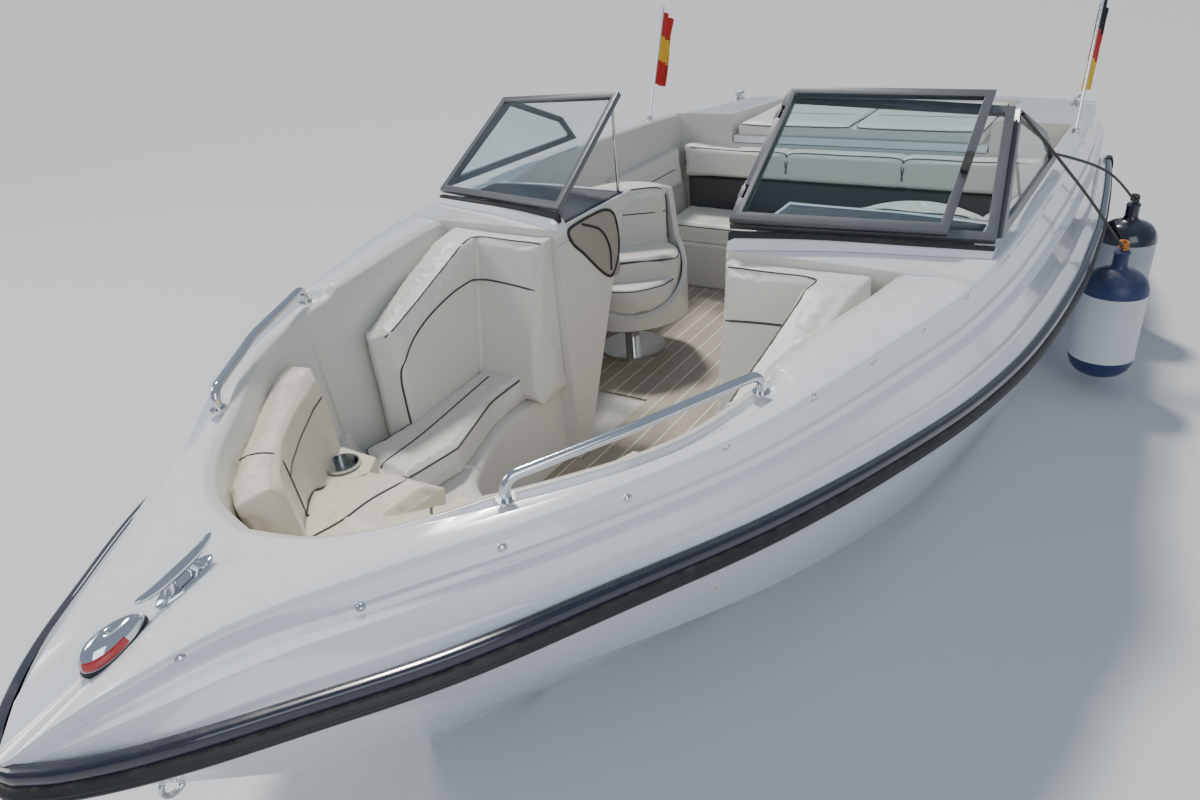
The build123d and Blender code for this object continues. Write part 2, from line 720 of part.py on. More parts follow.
# Pedestal seats, turned towards the walkway on the helm side. The cut gives each shell its low
# front and arms, as station and height
CUT = [(300, 345), (262, 352), (190, 395), (-20, 530), (-90, 590), (-130, SHELL_TOP + 1), (300, SHELL_TOP + 1)]
for side, name, turn in ((-1, "helm", SEAT_TURN), (1, "companion", 0)):
    base = FLOOR_Z + FLOOR_SHEET
    with BuildPart() as pedestal:
        with Locations((SEAT_X, side * SEAT_Y, base)):
            Cylinder(PEDESTAL_FOOT_R, PEDESTAL_FOOT, align=(Align.CENTER, Align.CENTER, Align.MIN))
            Cylinder(PEDESTAL_R, SHELL_Z - base, align=(Align.CENTER, Align.CENTER, Align.MIN))
        with Locations((SEAT_X, side * SEAT_Y, SHELL_Z)):
            Cylinder(SPIGOT_R + g, 2 * SPIGOT + 10, mode=Mode.SUBTRACT)
    keep(pedestal.part, f"{name}_pedestal")

    place = Location((SEAT_X, side * SEAT_Y, SHELL_Z + g), (0, 0, turn))
    low = (Align.CENTER, Align.CENTER, Align.MIN)
    with BuildPart() as shell:
        Cylinder(SEAT_R, SHELL_TOP - SHELL_Z, align=low)
        with Locations((0, 0, SHELL_FLOOR)):
            Cylinder(SEAT_R - SHELL_WALL, SHELL_TOP, align=low, mode=Mode.SUBTRACT)
        with BuildSketch(Plane.XZ):
            outline([(x, z - SHELL_Z) for x, z in CUT])
        extrude(amount=SEAT_R + 10, both=True, mode=Mode.SUBTRACT)
        Cylinder(SPIGOT_R, SPIGOT, align=(Align.CENTER, Align.CENTER, Align.MAX))
    keep(place * shell.part, f"{name}_seat_shell")

    inner = SEAT_R - SHELL_WALL - g
    floor = SHELL_FLOOR + g
    # Columns: aft and fore bound, lower and upper bound
    pads = [
        (-inner, BACK_X, floor, BACK_TOP - SHELL_Z),
        (BACK_X + g, BOLSTER_X, floor, SEAT_CUSHION_TOP - SHELL_Z),
        (BOLSTER_X + g, inner, floor, BOLSTER_TOP - SHELL_Z),
    ]
    with BuildPart() as cushions:
        for aft, fore, under, over in pads:
            with BuildPart(mode=Mode.PRIVATE) as pad:
                with Locations((0, 0, under)):
                    Cylinder(inner, over - under, align=low)
                add(block((aft, fore), (-inner, inner), (under - 1, over + 1)), mode=Mode.INTERSECT)
                fillet(pad.edges().group_by(Axis.Z)[-1], 22)
            add(pad.part)
    keep(place * cushions.part, f"{name}_seat_cushions")

# Rear bench across the cockpit
bench_half = COCKPIT_HALF - FLOOR_PLAY
back_x = COCKPIT_AFT_X + g
sections = [(-bench_half, -BENCH_SPLIT - 2), (-BENCH_SPLIT + 2, BENCH_SPLIT - 2), (BENCH_SPLIT + 2, bench_half)]
seat_top = BENCH_SEAT_Z + BENCH_CUSHION
with BuildPart() as bench_base:
    add(block((COCKPIT_AFT_X, COCKPIT_AFT_X + BENCH_DEEP), (-bench_half, bench_half), (FLOOR_Z, BENCH_SEAT_Z)))
keep(bench_base.part, "bench_base")
with BuildPart() as bench_panel:
    add(block((back_x, back_x + PANEL_THICK), (-bench_half, bench_half), (BENCH_SEAT_Z + g, BENCH_BACK_Z - g)))
keep(bench_panel.part, "bench_panel")
with BuildPart() as bench_seats:
    for section in sections:
        x = (back_x + PANEL_THICK + g, COCKPIT_AFT_X + BENCH_DEEP)
        add(block(x, section, (BENCH_SEAT_Z + g, seat_top)))
    fillet(bench_seats.edges().group_by(Axis.Z)[-1], 20)
keep(bench_seats.part, "bench_seats")
with BuildPart() as bench_backs:
    for section in sections:
        add(block((back_x, back_x + BENCH_BACK_THICK), section, (BENCH_BACK_Z, BENCH_TOP_Z)))
    fillet(bench_backs.edges().group_by(Axis.Z)[-1], 20)
keep(bench_backs.part, "bench_backs")
with BuildPart() as side_pads:
    for side in (1, -1):
        outer = [(side * (wall_half(z) - g), z) for z in SIDE_PAD_Z]
        inner_edge = [(side * (wall_half(z) - SIDE_PAD_THICK), z) for z in reversed(SIDE_PAD_Z)]
        with BuildSketch(Plane.YZ.offset(SIDE_PAD[0])):
            outline(outer + inner_edge)
        extrude(amount=SIDE_PAD[1] - SIDE_PAD[0])
keep(side_pads.part, "side_pads")

# Engine, its hatch, the sun pad on it and the hatch's hinges
engine_x = (BAY_AFT_X + BAY_FORE_X) / 2
keep(
    block(
        (engine_x - ENGINE_LONG / 2, engine_x + ENGINE_LONG / 2), (-ENGINE_WIDE / 2, ENGINE_WIDE / 2),
        (BAY_FLOOR_Z, ENGINE_TOP_Z),
    ),
    "engine_block",
)
pin_x = HATCH_AFT_X + HATCH_PIN_IN
pin_z = HATCH_Z + HATCH_THICK / 2
hatch_x = (pin_x + HATCH_EDGE_IN, COCKPIT_AFT_X - HATCH_GAP)
hatch_y = HATCH_HALF - HATCH_GAP


def hatch_pin(y, radius, long):
    with BuildPart(mode=Mode.PRIVATE) as made:
        with Locations(Location((pin_x, y, pin_z), (90, 0, 0))):
            Cylinder(radius, long)
    return made.part


with BuildPart() as engine_hatch:
    add(block(hatch_x, (-hatch_y, hatch_y), (HATCH_Z, HATCH_Z + HATCH_THICK)))
    for y in (-BAY_HALF / 2, BAY_HALF / 2):
        web = (y - KNUCKLE_LONG / 2, y + KNUCKLE_LONG / 2)
        add(block((pin_x, hatch_x[0]), web, (pin_z - HATCH_PIN_R, pin_z + HATCH_PIN_R)))
        add(hatch_pin(y, HATCH_KNUCKLE_R, KNUCKLE_LONG))
        add(hatch_pin(y, HATCH_PIN_R + PIN_PLAY, 2 * KNUCKLE_LONG), mode=Mode.SUBTRACT)
keep(engine_hatch.part, "engine_hatch")
with BuildPart() as hatch_hinges:
    for y in (-BAY_HALF / 2, BAY_HALF / 2):
        add(hatch_pin(y, HATCH_PIN_R, 2 * KNUCKLE_LONG))
        for way in (-1, 1):
            near = y + way * (KNUCKLE_LONG / 2 + 1)
            far = y + way * KNUCKLE_LONG
            add(block((HATCH_AFT_X, pin_x), (near, far), (pin_z - HATCH_PIN_R, pin_z + HATCH_PIN_R)))
            add(hatch_pin((near + far) / 2, HATCH_KNUCKLE_R, abs(far - near)))
keep(hatch_hinges.part, "hatch_hinges")
pad_z = HATCH_Z + HATCH_THICK + g
with BuildPart() as sun_pad:
    for side in (1, -1):
        y = (side * 3, side * (hatch_y - 12))
        add(block((pin_x + PAD_SET, hatch_x[1]), y, (pad_z, pad_z + PAD_THICK)))
    fillet(sun_pad.edges().group_by(Axis.Z)[-1], 20)
keep(sun_pad.part, "sun_pad")

# Swim platform
with BuildPart() as swim_platform:
    half = (-PLATFORM_HALF, PLATFORM_HALF)
    add(block((PLATFORM_X, TRANSOM_X), half, (PLATFORM_Z - PLATFORM_THICK, PLATFORM_Z)))
    fillet(swim_platform.edges().filter_by(Axis.Z).group_by(Axis.X)[0], PLATFORM_ROUND)
    fillet(swim_platform.edges().group_by(Axis.Z)[-1], 12)
keep(swim_platform.part, "swim_platform")


# Stern drive: housing on the transom, ring that steers, leg that trims
def from_axis(x, y, z):
    """Box whose stations are told from the steering axis."""
    return block((STEER_X + x[0], STEER_X + x[1]), y, z)


def crossbar(at, radius, long):
    """Cylinder across the boat, its place told from the steering axis."""
    with BuildPart(mode=Mode.PRIVATE) as made:
        with Locations(Location((STEER_X + at[0], 0, at[1]), (90, 0, 0))):
            Cylinder(radius, long)
    return made.part


def shaft(start, radius, long):
    """Cylinder aft along the propeller shaft's line, from a distance behind the steering axis."""
    with BuildPart(mode=Mode.PRIVATE) as made:
        with Locations(Location((STEER_X - start - long / 2, 0, -SHAFT_DROP), (0, 90, 0))):
            Cylinder(radius, long)
    return made.part


plate_x = TRANSOM_X - HOUSING_THICK
lugs = ((RING_TOP + LUG_GAP, RING_TOP + LUG_GAP + LUG), (RING_LOW - LUG_GAP - LUG, RING_LOW - LUG_GAP))
with BuildPart() as gimbal_housing:
    add(block((plate_x, TRANSOM_X), (-HOUSING_HALF, HOUSING_HALF), HOUSING_Z))
    for lug in lugs:
        add(block((STEER_X - 22, plate_x), (-30, 30), lug))
    with Locations((STEER_X, 0, 0)):
        Cylinder(PIN_R + PIN_PLAY, 900, mode=Mode.SUBTRACT)
keep(gimbal_housing.part, "gimbal_housing")

half_deep = RING_DEEP / 2
opening = from_axis(
    (-half_deep - 10, half_deep + 10), (-RING_HALF + RING_BAR, RING_HALF - RING_BAR),
    (RING_LOW + RING_BAR + 8, RING_TOP - RING_BAR),
)
with BuildPart() as gimbal_ring:
    add(from_axis((-half_deep, half_deep), (-RING_HALF, RING_HALF), (RING_LOW, RING_TOP)))
    for low_z, high_z in ((RING_TOP - 2, lugs[0][1] - 4), (lugs[1][0] + 4, RING_LOW + 2)):
        with Locations((STEER_X, 0, (low_z + high_z) / 2)):
            Cylinder(PIN_R, high_z - low_z)
    add(crossbar((CYL_FOOT.X, CYL_FOOT.Z), CYL_PIN_R, 2 * (CYL_Y + CYL_R + 4)))
    add(opening, mode=Mode.SUBTRACT)
    add(crossbar((0, 0), PIN_R + PIN_PLAY, 3 * RING_HALF), mode=Mode.SUBTRACT)
keep(gimbal_ring.part, "gimbal_ring")

cowl_x = (-255, -75)
with BuildPart() as drive_leg:
    add(from_axis((-90, 10), (-LEG_HALF, LEG_HALF), (-190, 20)))
    add(from_axis(cowl_x, (-LEG_COWL, LEG_COWL), (-200, 50)))
    add(from_axis((-TORPEDO_AFT + 15, -80), (-32, 32), (-SHAFT_DROP, -190)))
    add(from_axis((-PROP_BACK - 110, -80), (-100, 100), (-PLATE_DROP - 4, -PLATE_DROP + 4)))
    add(from_axis((-TORPEDO_AFT + 45, -115), (-8, 8), (-SHAFT_DROP - 200, -SHAFT_DROP)))
    add(shaft(TORPEDO_AFT - TORPEDO_LONG, TORPEDO_R, TORPEDO_LONG))
    fillet(drive_leg.edges().filter_by(GeomType.CIRCLE).group_by(Axis.X)[-1], TORPEDO_R - 12)
    add(crossbar((0, 0), PIN_R, 2 * RING_HALF - 10))
    add(crossbar((CYL_EYE.X + 45, CYL_EYE.Z), CYL_PIN_R + 5, 2 * (CYL_Y - EYE_THICK / 2 - 3)))
    for side in (-1, 1):
        arm = (side * 60, side * (CYL_Y - EYE_THICK / 2 - 3))
        add(from_axis((CYL_EYE.X - 12, -240), arm, (CYL_EYE.Z - 12, CYL_EYE.Z + 12)))
    add(shaft(TORPEDO_AFT - 70, PIN_R + PIN_PLAY, PROP_HUB), mode=Mode.SUBTRACT)
    # notch in the top, so that the trimmed leg stays clear of the ring's upper bar
    with BuildSketch(Plane.XZ.offset(-LEG_COWL - 10)):
        outline([(STEER_X + x, z) for x, z in LEG_NOTCH])
    extrude(amount=2 * LEG_COWL + 20, mode=Mode.SUBTRACT)
keep(drive_leg.part, "drive_leg")

with BuildPart() as propeller:
    add(shaft(PROP_BACK - PROP_HUB / 2, PROP_HUB_R, PROP_HUB))
    add(shaft(PROP_BACK - PROP_HUB / 2 - PROP_SHAFT, PIN_R, PROP_SHAFT + 10))
    for turn in (0, 120, 240):
        spoke = Vector(0, -sin(radians(turn)), cos(radians(turn)))
        round_way = Vector(1, 0, 0).cross(spoke)
        chord = Vector(1, 0, 0) * cos(radians(BLADE_PITCH)) + round_way * sin(radians(BLADE_PITCH))
        root = Vector(STEER_X - PROP_BACK, 0, -SHAFT_DROP) + spoke * (PROP_R + PROP_HUB_R - 6) / 2
        with BuildSketch(Plane(origin=root, x_dir=chord, z_dir=chord.cross(spoke))):
            Ellipse(55, (PROP_R - PROP_HUB_R + 6) / 2)
        extrude(amount=BLADE_THICK / 2, both=True)
keep(propeller.part, "propeller")

# Trim cylinders and their rods
foot = CYL_FOOT + Vector(STEER_X, 0, 0)
eye = CYL_EYE + Vector(STEER_X, 0, 0)
rod_way = (eye - foot).normalized()
with BuildPart() as trim_cylinders:
    for side in (-1, 1):
        at = Plane(origin=foot + Vector(0, side * CYL_Y, 0), x_dir=(0, 1, 0), z_dir=rod_way)
        with BuildSketch(at.offset(-CYL_PIN_R - 8)):
            Circle(CYL_R)
        extrude(amount=CYL_LONG)
        with BuildSketch(at.offset(ROD_IN - 20)):
            Circle(ROD_R + PIN_PLAY)
        extrude(amount=CYL_LONG, mode=Mode.SUBTRACT)
    with Locations(Location(foot, (90, 0, 0))):
        Cylinder(CYL_PIN_R + PIN_PLAY, 4 * CYL_Y, mode=Mode.SUBTRACT)
keep(trim_cylinders.part, "trim_cylinders")
with BuildPart() as trim_rods:
    for side in (-1, 1):
        at = Plane(origin=foot + Vector(0, side * CYL_Y, 0), x_dir=(0, 1, 0), z_dir=rod_way)
        with BuildSketch(at.offset(ROD_IN)):
            Circle(ROD_R)
        extrude(amount=(eye - foot).length - ROD_IN)
        with Locations(Location(eye + Vector(0, side * CYL_Y, 0), (90, 0, 0))):
            Cylinder(EYE_R, EYE_THICK)
keep(trim_rods.part, "trim_rods")

# Deck fittings
with BuildPart() as grab_rails:
    for side in (1, -1):
        ends = [(x, side * (lip_half(x) + TUBE_R + 8)) for x in (RAIL_FORE_X, RAIL_AFT_X)]
        (x0, y0), (x1, y1) = ends
        z0, z1 = deck_top(x0, y0) + TUBE_FOOT / 2, deck_top(x1, y1) + TUBE_FOOT / 2
        middle = ((x0 + x1) / 2 + 20, (y0 + y1) / 2 + side * 8, (z0 + z1) / 2 + RAIL_HIGH + 6)
        points = [
            (x0, y0, z0), (x0, y0, z0 + RAIL_HIGH), middle, (x1, y1, z1 + RAIL_HIGH), (x1, y1, z1),
        ]
        add(tube(points, TUBE_R, [30, 400, 30]))
        for x, y in ends:
            with Locations(on_deck(x, y, 0.7)):
                Cylinder(TUBE_FOOT_R, TUBE_FOOT, align=low)
keep(grab_rails.part, "grab_rails")


def cleat(x, y):
    """Two-horned cleat on its base plate, on the deck."""
    with BuildPart(mode=Mode.PRIVATE) as made:
        with BuildSketch(Plane.XY):
            Ellipse(60, 20)
        extrude(amount=4)
        with Locations((-24, 0, 4), (24, 0, 4)):
            Cylinder(8, CLEAT_HIGH - 8, align=(Align.CENTER, Align.CENTER, Align.MIN))
        with Locations((0, 0, CLEAT_HIGH)):
            Box(CLEAT_LONG, 18, 14)
        fillet(made.edges().filter_by(Axis.Z).group_by(Axis.Z)[-1], 8)
    return on_deck(x, y).location * made.part


with BuildPart() as deck_cleats:
    add(cleat(CLEAT_X, 0))
    for side in (1, -1):
        add(cleat(STERN_CLEAT[0], side * STERN_CLEAT[1]))
keep(deck_cleats.part, "deck_cleats")

with BuildPart() as nav_light:
    with BuildSketch(on_deck(LIGHT_X, 0, 0.7)):
        Ellipse(*LIGHT_HALF)
    extrude(amount=LIGHT_HIGH)
    fillet(nav_light.edges().sort_by(Axis.Z)[-1], LIGHT_HIGH * 0.4)
keep(nav_light.part, "nav_light")

with BuildPart() as bow_eye:
    slope_way = Vector(1, 0, 1).normalized()
    away = Vector(1, 0, -1).normalized()
    with Locations(Plane(origin=STEM_EYE_AT + away, x_dir=slope_way, z_dir=(0, 1, 0))):
        Torus(STEM_EYE_R, STEM_EYE_ROD, major_angle=180, align=None)
keep(bow_eye.part, "bow_eye")

taken = (COCKPIT_HALF - COCKPIT_FORE_HALF) / (COCKPIT_FORE_X - COCKPIT_TURN_X)
with BuildPart() as throttle:
    low_z, high_z = THROTTLE_Z
    flared = (wall_half(low_z) - COCKPIT_HALF) * (1 + taken ** 2) ** 0.5
    outer_y = (THROTTLE_X[1] - COCKPIT_TURN_X) * taken - COCKPIT_HALF - flared + g
    lever_x = sum(THROTTLE_X) / 2
    lever_y = outer_y + THROTTLE_DEEP + 8
    add(block(THROTTLE_X, (outer_y, outer_y + THROTTLE_DEEP), THROTTLE_Z))
    add(block((lever_x - 9, lever_x + 9), (lever_y - 8, lever_y + 6), (low_z + 45, high_z + 85)))
    with Locations((lever_x, lever_y, high_z + 95)):
        Sphere(18)
keep(throttle.part, "throttle")

# Flag staffs on the aft coaming, and a flag on each
lean = Vector(-sin(radians(STAFF_LEAN)), 0, cos(radians(STAFF_LEAN)))
with BuildPart() as flag_staffs:
    for side in (1, -1):
        seat = on_deck(STAFF_X, side * STAFF_Y)
        with BuildSketch(Plane(origin=seat.origin + Vector(0, 0, STAFF_FOOT / 2), z_dir=lean)):
            Circle(STAFF_R)
        extrude(amount=STAFF_LONG)
        with Locations(seat):
            Cylinder(2.5 * STAFF_R, STAFF_FOOT, align=low)
keep(flag_staffs.part, "flag_staffs")
with BuildPart() as flags:
    for side in (1, -1):
        start = on_deck(STAFF_X, side * STAFF_Y).origin + Vector(0, 0, STAFF_FOOT / 2)
        beside = Vector(-(STAFF_R + g) / cos(radians(STAFF_LEAN)), 0, 0)
        foot_at = start + lean * (STAFF_LONG - FLAG_LONG - 10) + beside
        with BuildSketch(Plane.XZ.offset(-foot_at.Y - FLAG_THICK / 2)):
            hoist = lean * FLAG_LONG
            outline([
                (foot_at.X, foot_at.Z), (foot_at.X + hoist.X, foot_at.Z + hoist.Z),
                (foot_at.X + hoist.X - FLAG_WIDE * 0.8, foot_at.Z + hoist.Z - 110),
                (foot_at.X - FLAG_WIDE * 0.6, foot_at.Z - 60),
            ])
        extrude(amount=FLAG_THICK)
keep(flags.part, "flags")


# Fenders hung against the port quarter, each on its rope
def fender_y(x):
    """Middle of a fender whose side rests on the hull."""
    chine_y, chine_z, rail_y, rail_z = (at_station(x, column) for column in (2, 3, 4, 5))
    share = (FENDER_Z[1] - chine_z) / (rail_z - chine_z)
    return chine_y + share * (rail_y - chine_y) + FENDER_R + 2


eyes = []
with BuildPart() as fenders:
    for x in FENDER_X:
        with Locations((x, fender_y(x), FENDER_Z[0])):
            long = FENDER_Z[1] - FENDER_Z[0]
            Cylinder(FENDER_R, long, align=(Align.CENTER, Align.CENTER, Align.MIN))
        fillet(fenders.edges().filter_by(GeomType.CIRCLE).sort_by_distance((x, fender_y(x), 0))[0], 90)
        fillet(fenders.edges().filter_by(GeomType.CIRCLE).sort_by_distance((x, fender_y(x), 900))[0], 90)
        with Locations((x, fender_y(x), FENDER_Z[1] - 5)):
            Cylinder(24, FENDER_NECK - 20, align=(Align.CENTER, Align.CENTER, Align.MIN))
        eyes.append(Vector(x, fender_y(x), FENDER_Z[1] + FENDER_NECK - 25 + ROPE_R - g))
keep(fenders.part, "fenders")

wing_foot = (WING_PANE[0] - WING_TIP).normalized()
wing_normal = wing_foot.cross(WING_PANE[3] - WING_PANE[0]).normalized()
if wing_normal.Y < 0:
    wing_normal = -wing_normal
wing_bar = WING_TIP + (wing_foot * 2 + wing_foot.cross(wing_normal) * 1.2) * FRAME_WIDE
rope_tops = [SHIELD_D + Vector(-8, 22, -6), wing_bar + wing_normal * (FRAME_THICK / 2 + ROPE_R + g)]
routes = [
    [rope_tops[0], Vector(75, 1060, 1035), Vector(-215, 1168, 812), eyes[0]],
    [rope_tops[1], Vector(-470, 1110, 915), Vector(-820, 1200, 762), eyes[1]],
]


def bend_radii(points):
    """Largest arcs that each corner's runs leave room for."""
    radii = []
    for before, corner, after in zip(points, points[1:], points[2:]):
        turn = radians((corner - before).get_angle(after - corner))
        radii.append(0.45 * min((corner - before).length, (after - corner).length) / tan(turn / 2))
    return radii


for number, route in enumerate(routes, 1):
    radii = bend_radii(route)
    print("rope", number, "radii", [round(radius) for radius in radii])
    keep(tube([tuple(point) for point in route], ROPE_R, radii), f"fender_rope_{number}")
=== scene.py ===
# Speedboat afloat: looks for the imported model. Metres, x to the bow, y to port, z up, floor at the waterline.
import math

import bmesh
import bpy
from mathutils import Matrix, Vector
from mathutils.bvhtree import BVHTree


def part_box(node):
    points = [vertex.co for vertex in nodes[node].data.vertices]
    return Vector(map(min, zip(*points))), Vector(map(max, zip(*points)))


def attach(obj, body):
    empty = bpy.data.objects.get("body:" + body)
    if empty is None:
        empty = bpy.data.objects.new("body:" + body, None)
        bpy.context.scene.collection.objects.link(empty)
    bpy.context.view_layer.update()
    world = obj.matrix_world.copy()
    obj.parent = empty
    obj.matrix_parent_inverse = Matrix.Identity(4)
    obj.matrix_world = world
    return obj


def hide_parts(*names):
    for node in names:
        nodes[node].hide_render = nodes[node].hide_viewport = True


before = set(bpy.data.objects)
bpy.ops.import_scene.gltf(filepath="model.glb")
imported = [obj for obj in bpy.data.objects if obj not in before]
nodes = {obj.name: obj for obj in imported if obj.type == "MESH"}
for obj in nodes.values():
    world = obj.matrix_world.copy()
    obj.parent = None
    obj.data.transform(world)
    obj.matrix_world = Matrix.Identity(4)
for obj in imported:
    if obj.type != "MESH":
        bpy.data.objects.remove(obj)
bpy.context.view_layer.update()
print("frame loaded,", len(nodes), "nodes")

mm = 0.001
boatSides = ((1, "port"), (-1, "starboard"))

# camera: place in metres, turns in degrees, focal length in pixels of the photo, sensor in mm
camera = {
    "at": (3.180, 1.312, 1.809), "yaw": 214.5, "pitch": -28.45, "roll": -5.42,
    "focal": 857.5, "imageWidth": 1200, "sensor": 36, "farthest": 200,
}


def makeCamera():
    yaw, pitch, roll = (math.radians(camera[k]) for k in ("yaw", "pitch", "roll"))
    ahead = Vector((math.cos(pitch) * math.cos(yaw), math.cos(pitch) * math.sin(yaw), math.sin(pitch)))
    right = ahead.cross(Vector((0, 0, 1))).normalized()
    up = right.cross(ahead)
    tiltedRight = right * math.cos(roll) + up * math.sin(roll)
    tiltedUp = up * math.cos(roll) - right * math.sin(roll)
    lens = bpy.data.cameras.new("camera")
    lens.sensor_width = camera["sensor"]
    lens.lens = camera["focal"] / camera["imageWidth"] * camera["sensor"]
    lens.clip_end = camera["farthest"]
    piece = bpy.data.objects.new("camera", lens)
    bpy.context.scene.collection.objects.link(piece)
    turn = Matrix((tiltedRight, tiltedUp, -ahead)).transposed()
    piece.matrix_world = Matrix.Translation(camera["at"]) @ turn.to_4x4()
    bpy.context.scene.camera = piece


makeCamera()


# shader groups: each effect once, its values set where it is used
def newGroup(name, inputs, outputs):
    group = bpy.data.node_groups.new(name, "ShaderNodeTree")
    for label, kind, value in inputs:
        socket = group.interface.new_socket(name=label, in_out="INPUT", socket_type=kind)
        socket.default_value = value
    for label, kind in outputs:
        group.interface.new_socket(name=label, in_out="OUTPUT", socket_type=kind)
    return group, group.nodes.new("NodeGroupInput"), group.nodes.new("NodeGroupOutput")


def addNode(tree, kind, links=(), **values):
    node = tree.nodes.new(kind)
    for key, value in values.items():
        if key.startswith("in_"):
            key = key[3:].replace("_", " ")
            node.inputs[int(key) if key.isdigit() else key].default_value = value
        else:
            setattr(node, key, value)
    for target, source in links:
        tree.links.new(source, node.inputs[target])
    return node


def mathNode(tree, operation, first, second=0.5, clamp=False):
    node = tree.nodes.new("ShaderNodeMath")
    node.operation = operation
    node.use_clamp = clamp
    for index, value in enumerate((first, second)):
        if isinstance(value, (int, float)):
            node.inputs[index].default_value = value
        else:
            tree.links.new(value, node.inputs[index])
    return node.outputs[0]


def mixColour(tree, factor, first, second):
    node = tree.nodes.new("ShaderNodeMix")
    node.data_type = "RGBA"
    for index, value in ((0, factor), (6, first), (7, second)):
        if isinstance(value, (int, float, tuple)):
            node.inputs[index].default_value = value
        else:
            tree.links.new(value, node.inputs[index])
    return node.outputs[2]


floatKind, colourKind = "NodeSocketFloat", "NodeSocketColor"


def makeMottleGroup():
    # soft colour change over the surface, and dirt that settles on what faces up
    group, source, sink = newGroup(
        "mottle",
        [("Colour", colourKind, (1, 1, 1, 1)), ("Dirt colour", colourKind, (0.3, 0.26, 0.2, 1)),
         ("Scale", floatKind, 3), ("Amount", floatKind, 0.08), ("Dirt", floatKind, 0.1)],
        [("Colour", colourKind), ("Mask", floatKind)],
    )
    place = addNode(group, "ShaderNodeTexCoord").outputs["Object"]
    broad = addNode(group, "ShaderNodeTexNoise", [("Vector", place), ("Scale", source.outputs["Scale"])],
                    in_Detail=4)
    fine = addNode(group, "ShaderNodeTexNoise", [("Vector", place)],
                   in_Scale=34, in_Detail=6, in_Roughness=0.7)
    shift = mathNode(group, "SUBTRACT", broad.outputs[0], 0.5)
    shift = mathNode(group, "MULTIPLY", shift, source.outputs["Amount"])
    bright = mathNode(group, "ADD", mathNode(group, "MULTIPLY", shift, 2.0), 1.0)
    toned = addNode(group, "ShaderNodeHueSaturation",
                    [("Color", source.outputs["Colour"]), ("Value", bright)])
    surface = addNode(group, "ShaderNodeNewGeometry")
    facing = addNode(group, "ShaderNodeSeparateXYZ", [(0, surface.outputs["Normal"])])
    settle = mathNode(group, "POWER", mathNode(group, "MAXIMUM", facing.outputs[2], 0.0), 3.0)
    speck = mathNode(group, "MULTIPLY", mathNode(group, "POWER", fine.outputs[0], 3.0), settle)
    mask = mathNode(group, "MULTIPLY", mathNode(group, "MULTIPLY", speck, source.outputs["Dirt"]), 6.0, True)
    colour = mixColour(group, mask, toned.outputs[0], source.outputs["Dirt colour"])
    group.links.new(colour, sink.inputs["Colour"])
    group.links.new(mask, sink.inputs["Mask"])
    return group


def makeGrainGroup():
    # small grain as a height: leather cells, moulded orange peel or brushed lines by its stretch
    group, source, sink = newGroup(
        "grain",
        [("Scale", floatKind, 400), ("Cells", floatKind, 0.5), ("Stretch", floatKind, 1)],
        [("Height", floatKind)],
    )
    place = addNode(group, "ShaderNodeTexCoord").outputs["Object"]
    apart = addNode(group, "ShaderNodeSeparateXYZ", [(0, place)])
    longer = mathNode(group, "MULTIPLY", apart.outputs[1], source.outputs["Stretch"])
    drawn = addNode(group, "ShaderNodeCombineXYZ",
                    [(0, apart.outputs[0]), (1, longer), (2, apart.outputs[2])])
    wires = [("Vector", drawn.outputs[0]), ("Scale", source.outputs["Scale"])]
    cells = addNode(group, "ShaderNodeTexVoronoi", wires)
    noise = addNode(group, "ShaderNodeTexNoise", wires, in_Detail=3)
    first = mathNode(group, "MULTIPLY", cells.outputs[0], source.outputs["Cells"])
    rest = mathNode(group, "SUBTRACT", 1.0, source.outputs["Cells"])
    second = mathNode(group, "MULTIPLY", noise.outputs[0], rest)
    group.links.new(mathNode(group, "ADD", first, second), sink.inputs["Height"])
    return group


mottleGroup = makeMottleGroup()
grainGroup = makeGrainGroup()

